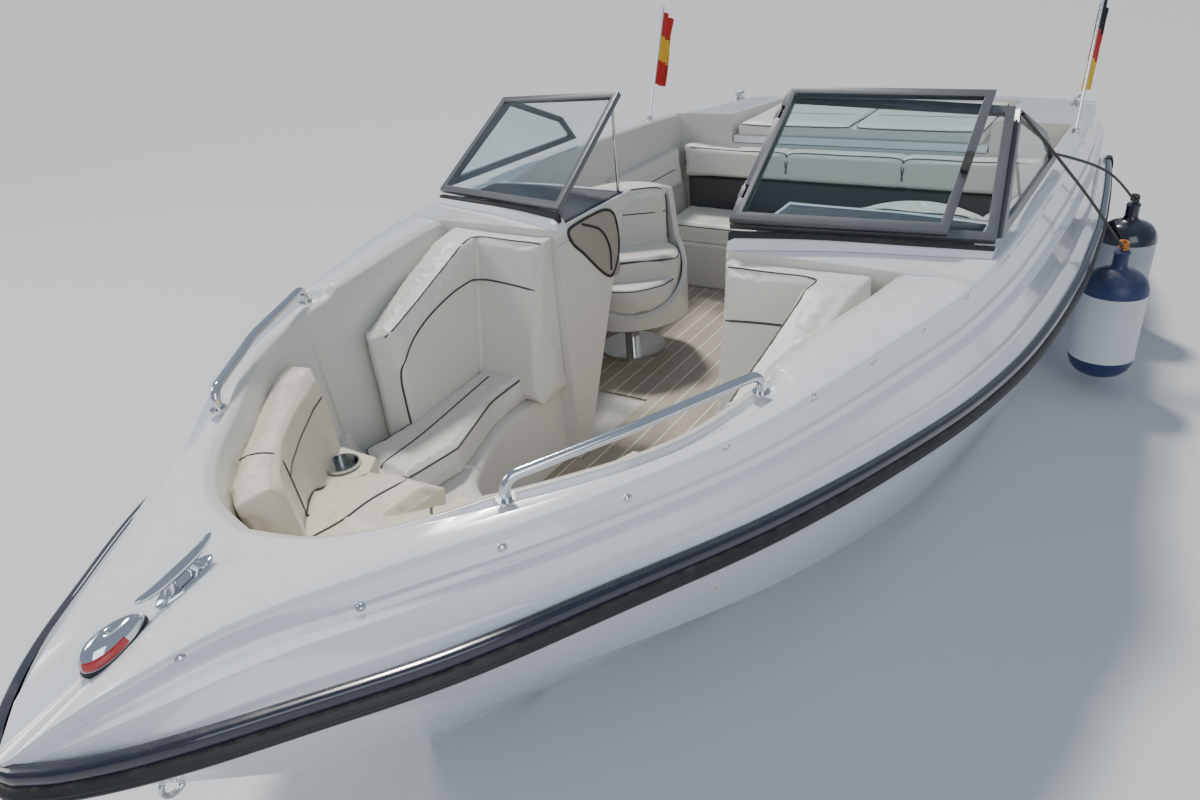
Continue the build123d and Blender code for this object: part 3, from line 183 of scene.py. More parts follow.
# finishes: colour and roughness, mottle as scale, amount and dirt, and
# grain as scale, share of cells, stretch and strength
finishes = {
    "gelcoatWhite": {"colour": (0.80, 0.82, 0.85), "rough": 0.16, "coat": 0.8, "mottle": (0.9, 0.03, 0.10),
                     "grain": (90, 0.0, 1, 0.015)},
    "gelcoatLiner": {"colour": (0.66, 0.64, 0.60), "rough": 0.34, "coat": 0.3, "mottle": (1.4, 0.05, 0.16),
                     "grain": (140, 0.2, 1, 0.03)},
    "navyGloss": {"colour": (0.007, 0.010, 0.026), "rough": 0.22, "coat": 0.7, "mottle": (3, 0.2, 0.06),
                  "grain": (120, 0.0, 1, 0.02)},
    "dashNavy": {"colour": (0.012, 0.018, 0.04), "rough": 0.55, "mottle": (4, 0.15, 0.12),
                 "grain": (900, 0.7, 1, 0.12)},
    "railRubber": {"colour": (0.012, 0.012, 0.014), "rough": 0.48, "mottle": (6, 0.3, 0.25),
                   "grain": (500, 0.4, 1, 0.1)},
    "seal": {"colour": (0.014, 0.014, 0.016), "rough": 0.6, "mottle": (9, 0.3, 0.2),
             "grain": (700, 0.4, 1, 0.1)},
    "vinylWhite": {"colour": (0.70, 0.68, 0.625), "rough": 0.42, "sheen": 0.12, "mottle": (2.4, 0.06, 0.14),
                   "grain": (620, 0.85, 1, 0.10)},
    "vinylCream": {"colour": (0.71, 0.655, 0.53), "rough": 0.44, "sheen": 0.12, "mottle": (2.8, 0.07, 0.18),
                   "grain": (620, 0.85, 1, 0.10)},
    "vinylCharcoal": {"colour": (0.055, 0.056, 0.06), "rough": 0.5, "sheen": 0.1, "mottle": (3, 0.2, 0.15),
                      "grain": (620, 0.85, 1, 0.12)},
    "piping": {"colour": (0.05, 0.048, 0.048), "rough": 0.5, "mottle": (12, 0.3, 0.1),
               "grain": (900, 0.6, 1, 0.08)},
    "dashTaupe": {"colour": (0.33, 0.29, 0.25), "rough": 0.5, "sheen": 0.1, "mottle": (3, 0.1, 0.1),
                  "grain": (700, 0.8, 1, 0.12)},
    "frameGrey": {"colour": (0.20, 0.205, 0.215), "rough": 0.36, "metal": 0.8, "mottle": (5, 0.12, 0.08),
                  "grain": (420, 0.0, 14, 0.05)},
    "steel": {"colour": (0.66, 0.68, 0.70), "rough": 0.10, "metal": 1.0, "mottle": (7, 0.10, 0.05),
              "grain": (300, 0.0, 9, 0.02)},
    "blackPlastic": {"colour": (0.016, 0.016, 0.018), "rough": 0.42, "mottle": (7, 0.25, 0.12),
                     "grain": (800, 0.7, 1, 0.1)},
    "silverPlastic": {"colour": (0.48, 0.49, 0.51), "rough": 0.34, "metal": 0.3, "mottle": (7, 0.1, 0.1),
                      "grain": (600, 0.3, 1, 0.04)},
    "drivePaint": {"colour": (0.02, 0.021, 0.024), "rough": 0.3, "coat": 0.4, "mottle": (4, 0.25, 0.2),
                   "grain": (160, 0.1, 1, 0.05)},
    "engineGrey": {"colour": (0.09, 0.095, 0.1), "rough": 0.6, "metal": 0.4, "mottle": (9, 0.3, 0.4),
                   "grain": (60, 0.6, 1, 0.3)},
    "bayGrey": {"colour": (0.32, 0.33, 0.34), "rough": 0.5, "mottle": (2, 0.15, 0.3),
                "grain": (40, 0.5, 1, 0.2)},
    "fenderWhite": {"colour": (0.62, 0.64, 0.67), "rough": 0.36, "mottle": (5, 0.12, 0.3),
                    "grain": (70, 0.3, 1, 0.05)},
    "fenderGrey": {"colour": (0.42, 0.44, 0.47), "rough": 0.4, "mottle": (5, 0.15, 0.3),
                   "grain": (70, 0.3, 1, 0.05)},
    "fenderBlue": {"colour": (0.02, 0.035, 0.11), "rough": 0.36, "mottle": (5, 0.2, 0.2),
                   "grain": (90, 0.3, 1, 0.05)},
    "ropeDark": {"colour": (0.06, 0.055, 0.05), "rough": 0.8, "mottle": (60, 0.5, 0.1),
                 "grain": (900, 0.5, 1, 0.4)},
    "ropeOrange": {"colour": (0.55, 0.20, 0.04), "rough": 0.8, "mottle": (60, 0.4, 0.1),
                   "grain": (900, 0.5, 1, 0.4)},
    "dialFace": {"colour": (0.75, 0.75, 0.72), "rough": 0.4, "mottle": (9, 0.05, 0.02),
                 "grain": (90, 0, 1, 0.01)},
}
for name, colour in (("flagRed", (0.55, 0.03, 0.02)), ("flagYellow", (0.78, 0.48, 0.03)),
                     ("flagBlack", (0.015, 0.015, 0.015))):
    finishes[name] = {"colour": colour, "rough": 0.75, "mottle": (10, 0.1, 0.05),
                      "grain": (1500, 0.2, 1, 0.2)}
for name, colour in (("lensRed", (0.45, 0.01, 0.01)), ("lensGreen", (0.01, 0.25, 0.09))):
    finishes[name] = {"colour": colour, "rough": 0.12, "coat": 0.8, "mottle": (9, 0.1, 0.0),
                      "grain": (90, 0, 1, 0.01)}
materials = {}


def finish(name):
    if name in materials:
        return materials[name]
    made = finishes[name]
    material = bpy.data.materials.new(name)
    material.use_nodes = True
    tree = material.node_tree
    shader = tree.nodes["Principled BSDF"]
    scale, amount, dirt = made["mottle"]
    tone = addNode(tree, "ShaderNodeGroup", node_tree=mottleGroup, in_Colour=(*made["colour"], 1),
                   in_Scale=scale, in_Amount=amount, in_Dirt=dirt)
    tree.links.new(tone.outputs["Colour"], shader.inputs["Base Color"])
    rough = mathNode(tree, "ADD", mathNode(tree, "MULTIPLY", tone.outputs["Mask"], 0.35), made["rough"], True)
    tree.links.new(rough, shader.inputs["Roughness"])
    size, cells, stretch, strength = made["grain"]
    grain = addNode(tree, "ShaderNodeGroup", node_tree=grainGroup,
                    in_Scale=size, in_Cells=cells, in_Stretch=stretch)
    bump = addNode(tree, "ShaderNodeBump", [("Height", grain.outputs["Height"])],
                   in_Strength=strength, in_Distance=0.002)
    tree.links.new(bump.outputs[0], shader.inputs["Normal"])
    shader.inputs["Metallic"].default_value = made.get("metal", 0)
    shader.inputs["Coat Weight"].default_value = made.get("coat", 0)
    shader.inputs["Coat Roughness"].default_value = 0.05
    shader.inputs["Sheen Weight"].default_value = made.get("sheen", 0)
    materials[name] = material
    return material


glass = {"tint": (0.80, 0.90, 0.92), "rough": 0.02, "bend": 1.2, "waves": 5, "ripple": 0.02}


def glassFinish():
    material = bpy.data.materials.new("tintedGlass")
    material.use_nodes = True
    tree = material.node_tree
    shader = tree.nodes["Principled BSDF"]
    tone = addNode(tree, "ShaderNodeGroup", node_tree=mottleGroup, in_Colour=(*glass["tint"], 1),
                   in_Scale=2, in_Amount=0.02, in_Dirt=0.0)
    tree.links.new(tone.outputs["Colour"], shader.inputs["Base Color"])
    grain = addNode(tree, "ShaderNodeGroup", node_tree=grainGroup,
                    in_Scale=glass["waves"], in_Cells=0.0, in_Stretch=1)
    bump = addNode(tree, "ShaderNodeBump", [("Height", grain.outputs["Height"])],
                   in_Strength=glass["ripple"], in_Distance=0.002)
    tree.links.new(bump.outputs[0], shader.inputs["Normal"])
    shader.inputs["Roughness"].default_value = glass["rough"]
    shader.inputs["IOR"].default_value = glass["bend"]
    shader.inputs["Transmission Weight"].default_value = 1
    return material


# plank width in metres, caulked share of it, and colours
planks = {"width": 0.072, "line": 0.09, "wood": (0.40, 0.34, 0.27), "caulk": (0.70, 0.66, 0.58)}


def plankFinish():
    # sheet flooring with a plank pattern: pale lines fore and aft, fine grain between them
    material = bpy.data.materials.new("plankFloor")
    material.use_nodes = True
    tree = material.node_tree
    shader = tree.nodes["Principled BSDF"]
    place = addNode(tree, "ShaderNodeTexCoord").outputs["Object"]
    apart = addNode(tree, "ShaderNodeSeparateXYZ", [(0, place)])
    count = mathNode(tree, "DIVIDE", mathNode(tree, "ADD", apart.outputs[1], 5.0), planks["width"])
    inside = mathNode(tree, "FRACT", count)
    line = mathNode(tree, "LESS_THAN", inside, planks["line"])
    stretch = addNode(tree, "ShaderNodeMapping", [("Vector", place)])
    stretch.inputs["Scale"].default_value = (3, 90, 3)
    grain = addNode(tree, "ShaderNodeTexNoise", [("Vector", stretch.outputs[0])], in_Scale=2.2, in_Detail=6)
    plank = addNode(tree, "ShaderNodeTexWhiteNoise", [("W", mathNode(tree, "FLOOR", count))],
                    noise_dimensions="1D")
    tone = mathNode(tree, "ADD", mathNode(tree, "MULTIPLY", grain.outputs[0], 0.5),
                    mathNode(tree, "MULTIPLY", plank.outputs[0], 0.18))
    wood = addNode(tree, "ShaderNodeHueSaturation", [("Value", mathNode(tree, "ADD", tone, 0.66))],
                   in_Color=(*planks["wood"], 1))
    mottled = addNode(tree, "ShaderNodeGroup", [("Colour", wood.outputs[0])], node_tree=mottleGroup,
                      in_Scale=2, in_Amount=0.1, in_Dirt=0.25)
    colour = mixColour(tree, line, mottled.outputs["Colour"], (*planks["caulk"], 1))
    tree.links.new(colour, shader.inputs["Base Color"])
    height = mathNode(tree, "SUBTRACT", mathNode(tree, "MULTIPLY", grain.outputs[0], 0.3), line)
    bump = addNode(tree, "ShaderNodeBump", [("Height", height)], in_Strength=0.35, in_Distance=0.001)
    tree.links.new(bump.outputs[0], shader.inputs["Normal"])
    shader.inputs["Roughness"].default_value = 0.5
    return material


materials["tintedGlass"] = glassFinish()
materials["plankFloor"] = plankFinish()
print("materials ready")

# fender lines: the same routes as in the part, in metres
ropes = {
    "fenderRope1": [(0.364, 0.952, 1.249), (0.075, 1.060, 1.035), (-0.215, 1.168, 0.812),
                    (-0.500, 1.2612, 0.5897)],
    "fenderRope2": [(-0.1385, 1.0075, 1.0197), (-0.470, 1.110, 0.915), (-0.820, 1.200, 0.762),
                    (-1.150, 1.2564, 0.5897)],
}
ropeThick = 0.010


def makeRopes():
    for number, (name, route) in enumerate(ropes.items()):
        points = [Vector(p) for p in route]
        curve = bpy.data.curves.new(name, "CURVE")
        curve.dimensions = "3D"
        curve.bevel_depth = ropeThick / 2
        curve.bevel_resolution = 3
        curve.resolution_u = 24
        spline = curve.splines.new("NURBS")
        spline.points.add(len(points) - 1)
        for control, point in zip(spline.points, points):
            control.co = (*point, 1)
        spline.order_u = 3
        spline.use_endpoint_u = True
        curve.materials.append(finish("ropeDark"))
        piece = bpy.data.objects.new(name, curve)
        bpy.context.scene.collection.objects.link(piece)
        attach(piece, "boat")
        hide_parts("fender_rope_" + str(number + 1))


makeRopes()
print("fender lines")


# mesh helpers
def newPiece(name, vertices, faces, finishNames, body="boat", smoothAngle=35, faceFinish=None, weld=0.0002):
    mesh = bpy.data.meshes.new(name)
    mesh.from_pydata([tuple(v) for v in vertices], [], faces)
    for finishName in [finishNames] if isinstance(finishNames, str) else finishNames:
        mesh.materials.append(finish(finishName))
    if faceFinish:
        for polygon, index in zip(mesh.polygons, faceFinish):
            polygon.material_index = index
    work = bmesh.new()
    work.from_mesh(mesh)
    bmesh.ops.remove_doubles(work, verts=work.verts, dist=weld)
    bmesh.ops.dissolve_degenerate(work, edges=work.edges, dist=weld / 2)
    loose = [v for v in work.verts if not v.link_faces]
    bmesh.ops.delete(work, geom=loose, context="VERTS")
    work.to_mesh(mesh)
    work.free()
    mesh.shade_smooth()
    mesh.set_sharp_from_angle(angle=math.radians(smoothAngle))
    piece = bpy.data.objects.new(name, mesh)
    bpy.context.scene.collection.objects.link(piece)
    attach(piece, body)
    return piece


def rounded(points, radii, steps=5):
    # a section with its inner corners eased, always with the same count of points
    out = [points[0]]
    for before, corner, after, radius in zip(points, points[1:], points[2:], radii):
        back, ahead = before - corner, after - corner
        if min(back.length, ahead.length) < 1e-6:
            out += [corner.copy() for _ in range(steps + 1)]
            continue
        turn = back.angle(ahead)
        reach = min(radius / max(math.tan(turn / 2), 0.02), 0.46 * back.length, 0.46 * ahead.length)
        start, end = corner + back.normalized() * reach, corner + ahead.normalized() * reach
        for step in range(steps + 1):
            t = step / steps
            out.append(start * (1 - t) ** 2 + corner * 2 * t * (1 - t) + end * t * t)
    out.append(points[-1])
    return out


def gridFaces(rows, columns, first=0, flip=False, closed=False):
    faces = []
    for i in range(rows - 1):
        for j in range(columns if closed else columns - 1):
            k = (j + 1) % columns
            a, b = first + i * columns + j, first + i * columns + k
            c, d = first + (i + 1) * columns + k, first + (i + 1) * columns + j
            faces.append((a, d, c, b) if flip else (a, b, c, d))
    return faces


def bothSides(sections, faceIndex=None):
    # port sections and their mirror image, as vertices, faces and finish indexes
    rows, columns = len(sections), len(sections[0])
    port = [point for section in sections for point in section]
    starboard = [Vector((p.x, -p.y, p.z)) for p in port]
    faces = gridFaces(rows, columns) + gridFaces(rows, columns, len(port), True)
    index = [faceIndex(j) if faceIndex else 0 for i in range(rows - 1) for j in range(columns - 1)]
    return port + starboard, faces, index + index


def tubeAlong(name, points, radius, finishName, body="boat", closed=False, sides=10):
    # round tube through points, its ends closed
    vertices, faces = [], []
    count = len(points)
    side = None
    for i, point in enumerate(points):
        nextPoint = points[(i + 1) % count] if closed else points[min(i + 1, count - 1)]
        lastPoint = points[i - 1] if closed or i else points[0]
        way = (nextPoint - lastPoint).normalized()
        if side is None:
            side = way.cross(Vector((0, 0, 1)) if abs(way.z) < 0.9 else Vector((1, 0, 0)))
        side = (side - way * side.dot(way)).normalized()
        other = way.cross(side)
        size = radius[i] if isinstance(radius, list) else radius
        for k in range(sides):
            turn = 2 * math.pi * k / sides
            vertices.append(point + (side * math.cos(turn) + other * math.sin(turn)) * size)
    faces = gridFaces(count, sides, 0, True, True)
    if closed:
        last = (count - 1) * sides
        faces += [(last + k, k, (k + 1) % sides, last + (k + 1) % sides) for k in range(sides)]
    else:
        faces += [tuple(range(sides)), tuple(reversed(range((count - 1) * sides, count * sides)))]
    return newPiece(name, vertices, faces, finishName, body, 50, None, 0.00005)


def smoothLine(points, steps=8, closed=False):
    # smooth curve through points
    count = len(points)
    out = []
    spans = count if closed else count - 1
    for i in range(spans):
        p1, p2 = points[i], points[(i + 1) % count]
        p0 = points[i - 1] if closed or i else p1 * 2 - p2
        p3 = points[(i + 2) % count] if closed or i + 2 < count else p2 * 2 - p1
        for step in range(steps):
            t = step / steps
            out.append(0.5 * (2 * p1 + (p2 - p0) * t + (2 * p0 - 5 * p1 + 4 * p2 - p3) * t * t
                              + (3 * p1 - p0 - 3 * p2 + p3) * t ** 3))
    if not closed:
        out.append(points[-1])
    return out


def mergedLathe(name, profile, spots, finishNames, finishAt=None, sides=24):
    # a turned shape of radius and height, at one or several places, as one piece
    vertices, faces, index = [], [], []
    parts = [finishAt(height) if finishAt else 0 for _, height in profile[:-1] for _ in range(sides)]
    for place, normal in spots:
        turn = Vector((0, 0, 1)).rotation_difference(normal).to_matrix()
        first = len(vertices)
        for radius, height in profile:
            for k in range(sides):
                angle = 2 * math.pi * k / sides
                local = Vector((radius * math.cos(angle), radius * math.sin(angle), height))
                vertices.append(turn @ local + place)
        faces += gridFaces(len(profile), sides, first, False, True)
        index += parts
    return newPiece(name, vertices, faces, finishNames, smoothAngle=40, faceFinish=index, weld=0.00005)


def ovalRings(place, normal, ahead, halves, rings, count, taper=0.0):
    # rings of share and height about the middle of an oval, which the taper narrows towards its back
    aside = normal.cross(ahead)
    vertices = []
    for size, height in rings:
        for k in range(count):
            turn = 2 * math.pi * k / count
            wide = halves[1] * (1 - taper * (1 - math.cos(turn)) / 2)
            vertices.append(place + ahead * halves[0] * size * math.cos(turn)
                            + aside * wide * size * math.sin(turn) + normal * height)
    return vertices, gridFaces(len(rings), count, 0, False, True)


def slope(table, column):
    # value of one column of the lines at any station, smooth through every row and with no overshoot
    xs, ys = [row[0] for row in table], [row[column] for row in table]
    steps = [(ys[i + 1] - ys[i]) / (xs[i + 1] - xs[i]) for i in range(len(xs) - 1)]
    tangents = [steps[0]]
    for before, after in zip(steps, steps[1:]):
        tangents.append(2 * before * after / (before + after) if before * after > 0 else 0)
    tangents.append(steps[-1])

    def value(x):
        i = max(k for k in range(len(xs) - 1) if k == 0 or xs[k] <= x)
        wide = xs[i + 1] - xs[i]
        t = min(max((x - xs[i]) / wide, 0), 1)
        return ((2 * t ** 3 - 3 * t ** 2 + 1) * ys[i] + (t ** 3 - 2 * t ** 2 + t) * wide * tangents[i]
                + (3 * t ** 2 - 2 * t ** 3) * ys[i + 1] + (t ** 3 - t ** 2) * wide * tangents[i + 1])

    return value


# hull lines in mm: station, keel height, chine half breadth and height, rail half breadth and height,
# shoulder half breadth and height
hullLines = [
    (-2100, -385, 1040, -50, 1080, 520, 985, 835), (-1600, -385, 1034, -47, 1118, 534, 1022, 872),
    (-1150, -384, 1022, -40, 1142, 547, 1040, 905), (-700, -382, 1000, -30, 1157, 562, 1048, 930),
    (-250, -380, 960, -12, 1156, 577, 1046, 947), (200, -376, 903, 15, 1134, 591, 1038, 956),
    (600, -366, 838, 50, 1096, 606, 1024, 959), (1000, -342, 742, 100, 1027, 631, 985, 957),
    (1400, -290, 620, 170, 920, 663, 885, 948), (1800, -195, 460, 250, 781, 696, 755, 934),
    (2200, 5, 300, 370, 592, 727, 525, 912), (2450, 205, 198, 478, 458, 739, 325, 893),
    (2650, 395, 118, 572, 318, 747, 175, 873), (2820, 565, 62, 655, 188, 752, 95, 846),
    (2920, 665, 28, 700, 84, 751, 42, 815), (2955, 705, 10, 722, 28, 750, 16, 790),
]
hullLines = [tuple(value * mm for value in row) for row in hullLines]
keelAt, chineYAt, chineZAt, railYAt, railZAt, topYAt, topZAt = (slope(hullLines, k) for k in range(1, 8))
sternX, stemX = hullLines[0][0], hullLines[-1][0]

# side of the deck moulding from the rail up: share of its height, how far out in mm, easing in mm
sideForm = [
    (0.08, 1, 0), (0.115, -1, 3), (0.215, -19, 26), (0.585, 4, 8), (0.605, 11, 3), (0.655, -5, 5),
    (0.725, -4, 3), (0.745, -11, 4), (0.90, -17, 30),
]


def narrowed(x):
    return min(1, railYAt(x) / 0.3)


def sidePoints(x):
    size = narrowed(x)
    points = []
    for share, out, _ in sideForm:
        y = railYAt(x) + (topYAt(x) - railYAt(x)) * share + out * mm * size
        points.append(Vector((x, max(y, 0.002), railZAt(x) + (topZAt(x) - railZAt(x)) * share)))
    points.append(Vector((x, topYAt(x), topZAt(x))))
    return points


def deckHeight(x, y):
    return topZAt(x) + 0.022 * narrowed(x) * (1 - abs(y) / topYAt(x))


# bow cockpit in rows from the bulkhead round to the stem, in mm: lip x, y, z, station of the deck's edge,
# foot of the side x, y, z, riser x, y, edge of the footwell x, y, and how far the rail's shelf is sunk
bowRows = [
    (995, 812, 966, 995, 995, 740, 400, 995, 550, 995, 360, 0),
    (1150, 790, 969, 1170, 1150, 720, 400, 1120, 540, 1100, 360, 0),
    (1300, 758, 969, 1340, 1300, 698, 400, 1260, 520, 1220, 360, 0),
    (1450, 725, 967, 1510, 1450, 670, 400, 1400, 500, 1320, 355, 0),
    (1560, 705, 965, 1630, 1560, 648, 400, 1500, 480, 1400, 335, 0),
    (1600, 700, 963, 1680, 1600, 642, 400, 1550, 475, 1430, 325, 2),
    (1640, 695, 944, 1730, 1640, 636, 400, 1590, 470, 1460, 315, 16),
    (1740, 678, 939, 1850, 1720, 622, 400, 1680, 500, 1530, 285, 20),
    (1765, 672, 938, 1880, 1745, 616, 400, 1730, 560, 1545, 278, 20),
    (1790, 666, 937, 1905, 1765, 610, 560, 1755, 585, 1560, 272, 20),
    (1890, 635, 933, 2020, 1860, 580, 560, 1800, 520, 1600, 250, 20),
    (2000, 575, 929, 2130, 1960, 530, 560, 1840, 420, 1630, 220, 20),
    (2120, 480, 923, 2260, 2080, 435, 560, 1855, 320, 1655, 180, 20),
    (2210, 400, 918, 2380, 2170, 360, 560, 1862, 250, 1670, 145, 16),
    (2300, 330, 912, 2475, 2250, 290, 560, 1865, 190, 1680, 115, 4),
    (2390, 240, 905, 2590, 2330, 210, 560, 1867, 130, 1685, 80, 0),
    (2460, 125, 899, 2740, 2390, 110, 560, 1868, 70, 1690, 40, 0),
    (2490, 0, 896, 2955, 2415, 0, 560, 1869, 0, 1690, 0, 0),
]
# main cockpit, walkway, consoles and the engine hatch's recess, in metres
cockpit = {
    "aftX": -1.130, "turnX": 0.100, "foreX": 0.500, "half": 0.885, "foreHalf": 0.800,
    "flare": math.radians(5), "floorZ": 0.090, "walkHalf": 0.300, "bulkheadX": 0.995, "dashTop": 0.925,
    "legHalf": 0.680, "hatchZ": 0.770, "hatchHalf": 0.640, "hatchAftX": -1.940,
}
# the deck's flat top: two places between shoulder and crest, its crown, and the crest's outer foot
flatTop = {"outer": 0.40, "inner": 0.52, "crown": 0.006, "crest": 0.018}
# easing of the corners from the shoulder in to the footwell, in metres
deckRadii = [0.055, 0.003, 0.003, 0.012, 0.010, 0.012, 0.030, 0.030, 0.025, 0.020, 0.030, 0.012]
cornerSteps = 5


def wallHalf(x, z):
    taken = max(0, x - cockpit["turnX"]) / (cockpit["foreX"] - cockpit["turnX"])
    half = cockpit["half"] + (cockpit["foreHalf"] - cockpit["half"]) * min(taken, 1)
    return half + (z - cockpit["floorZ"]) * math.tan(cockpit["flare"])


def topPoints(x, lip, drop=0.0):
    # two points of the flat top between the shoulder and the coaming's crest
    shoulder = Vector((x, topYAt(x), topZAt(x)))
    outer, inner = shoulder.lerp(lip, flatTop["outer"]), shoulder.lerp(lip, flatTop["inner"])
    crown = flatTop["crown"] * narrowed(x)
    outer.z += crown
    inner.z += crown - drop
    return outer, inner


# level of the moulding under the bow seats
seatZ = 0.400


def bowSection(row):
    # section at the bow cockpit: side, flat top, coaming, wall, seat or shelf, riser and footwell
    lipX, lipY, lipZ, edgeX, footX, footY, footZ, riserX, riserY, wellX, wellY, drop = (v * mm for v in row)
    lip, foot = Vector((lipX, lipY, lipZ)), Vector((footX, footY, footZ))
    inward = Vector((footX - lipX, footY - lipY, 0))
    inward = inward.normalized() if lipX > cockpit["bulkheadX"] + 0.001 else Vector((0, -1, 0))
    shoulder = Vector((edgeX, topYAt(edgeX), topZAt(edgeX)))
    outward = shoulder - lip
    outward.z = 0
    outward = outward.normalized() * flatTop["crest"]
    outer, inner = topPoints(edgeX, lip, drop)
    near = lip + outward - Vector((0, 0, 0.004 + drop * 0.7))
    rim = lip + inward * 0.022 - Vector((0, 0, 0.010))
    wall = lip + inward * 0.034 - Vector((0, 0, 0.050))
    riserTop = Vector((riserX, riserY, foot.z))
    riserFoot = Vector((riserX - 0.012, riserY, seatZ if foot.z > seatZ + 0.1 else foot.z))
    well = Vector((wellX, wellY, seatZ))
    floor = Vector((wellX - 0.006, max(wellY - 0.012, 0) if wellY else 0, cockpit["floorZ"] + 0.004))
    return sidePoints(edgeX) + [outer, inner, near, lip, rim, wall, foot, riserTop, riserFoot, well, floor]


def plainSection(x, lipY, walls):
    # section aft of the bulkhead: deck to the opening's edge, then down the points of its wall
    lip = Vector((x, lipY, deckHeight(x, lipY) + 0.004))
    outer, inner = topPoints(x, lip)
    near = lip + Vector((0, flatTop["crest"], -0.003))
    points = [Vector((x, y, z)) for y, z in walls(x, lip)]
    return sidePoints(x) + [outer, inner, near, lip] + points + [points[-1]] * (7 - len(points))


def walkWall(x, crest):
    return [(0.301, crest.z - 0.008), (0.2995, crest.z - 0.04), (0.2995, cockpit["dashTop"])]


def cockpitWall(x, crest):
    top = crest.z - 0.010
    return [(wallHalf(x, top) + 0.001, top), (wallHalf(x, top - 0.05), top - 0.05), (wallHalf(x, 0.4), 0.4),
            (wallHalf(x, 0.12), 0.12), (wallHalf(x, 0.092), 0.092)]


def hatchWall(x, crest):
    edge = cockpit["hatchHalf"]
    return [(edge + 0.002, crest.z - 0.008), (edge, crest.z - 0.04), (edge, cockpit["hatchZ"] - 0.002),
            (edge - 0.03, cockpit["hatchZ"] - 0.002)]


def sternWall(x, crest):
    return [(0.0, crest.z)]


def spread(start, end, count):
    return [start + (end - start) * k / (count - 1) for k in range(count)]


def smoothRows(rows, steps):
    # every column of a table smoothed by itself, with no overshoot
    columns = [slope([(i, row[c]) for i, row in enumerate(rows)], 1) for c in range(len(rows[0]))]
    places = [i + k / steps for i in range(len(rows) - 1) for k in range(steps)] + [len(rows) - 1]
    return [tuple(column(place) for column in columns) for place in places]


stern = {"round": 0.045, "steps": 6, "middleZ": 0.25}


def sternRows(section):
    # the last section again and again, drawn in round the stern's corner
    rows = []
    for step in range(1, stern["steps"] + 1):
        turn = math.pi / 2 * step / stern["steps"]
        size = 1 - stern["round"] * (1 - math.cos(turn))
        x, middle = sternX + stern["round"] * (1 - math.sin(turn)), stern["middleZ"]
        rows.append([Vector((x, p.y * size, middle + (p.z - middle) * size)) for p in section])
    return rows


def makeDeck():
    radii = [ease * mm for _, _, ease in sideForm[1:]] + deckRadii
    sections, breaks = [], []
    for row in reversed(smoothRows(bowRows, 4)):
        sections.append(bowSection(row))
    # the stem is closed round its nose
    nose = bowSection(bowRows[-1])
    for share, ahead in ((0.7, 0.008), (0.0, 0.012)):
        sections.insert(0, [Vector((p.x + min(ahead, p.y), p.y * share, p.z)) for p in nose])
    # zones aft of it: first and last station, count of sections, half breadth of the opening, its wall
    walkHalf, hatchHalf = cockpit["walkHalf"] + 0.004, cockpit["hatchHalf"] + 0.010
    zones = [
        (cockpit["bulkheadX"] - 0.002, cockpit["foreX"] + 0.002, 10, lambda x: walkHalf, walkWall),
        (cockpit["foreX"], cockpit["aftX"] + 0.001, 26, lambda x: wallHalf(x, 0.95) + 0.012, cockpitWall),
        (cockpit["aftX"] - 0.001, cockpit["hatchAftX"] + 0.001, 14, lambda x: hatchHalf, hatchWall),
        (cockpit["hatchAftX"] - 0.001, sternX + stern["round"], 4, lambda x: 0.010, sternWall),
    ]
    for start, end, count, lipAt, walls in zones:
        breaks.append(len(sections))
        sections += [plainSection(x, lipAt(x), walls) for x in spread(start, end, count)]
    sections += sternRows(sections[-1])
    sections = [rounded(section, radii, cornerSteps) for section in sections]
    # white from the rail to the coaming's crest, the liner's colour within it
    whiteTo = 1 + (cornerSteps + 1) * (len(sideForm) + 3)
    vertices, faces, index = bothSides(sections, lambda j: 0 if j < whiteTo else 1)
    columns = len(sections[0])
    # the strip between walkway and main cockpit has no wall across the opening
    openRow = breaks[1] - 1
    perSide = (len(sections) - 1) * (columns - 1)
    keep = []
    for number, face in enumerate(faces):
        i, j = divmod(number % perSide, columns - 1)
        if not (i == openRow and j > whiteTo):
            keep.append(number)
    faces, index = [faces[k] for k in keep], [index[k] for k in keep]
    piece = newPiece("deckMoulding", vertices, faces, ["gelcoatWhite", "gelcoatLiner"], smoothAngle=38,
                     faceFinish=index)
    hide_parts("deck")


# hull: places of its strakes from keel to chine, their size and the half breadth from which it is
# full, share of the topside's height where it bulges and by how much, and its lap behind the rail
hullForm = {
    "strakes": (0.36, 0.68), "strake": 0.016, "fullFrom": 0.6, "middle": 0.55, "bulge": 0.006, "lap": 0.034,
}


def railStations():
    # six stations to every row of the lines, and the stem
    stations = []
    for aft, fore in zip(hullLines, hullLines[1:]):
        stations += spread(aft[0], fore[0], 7)[:-1]
    return stations + [stemX]


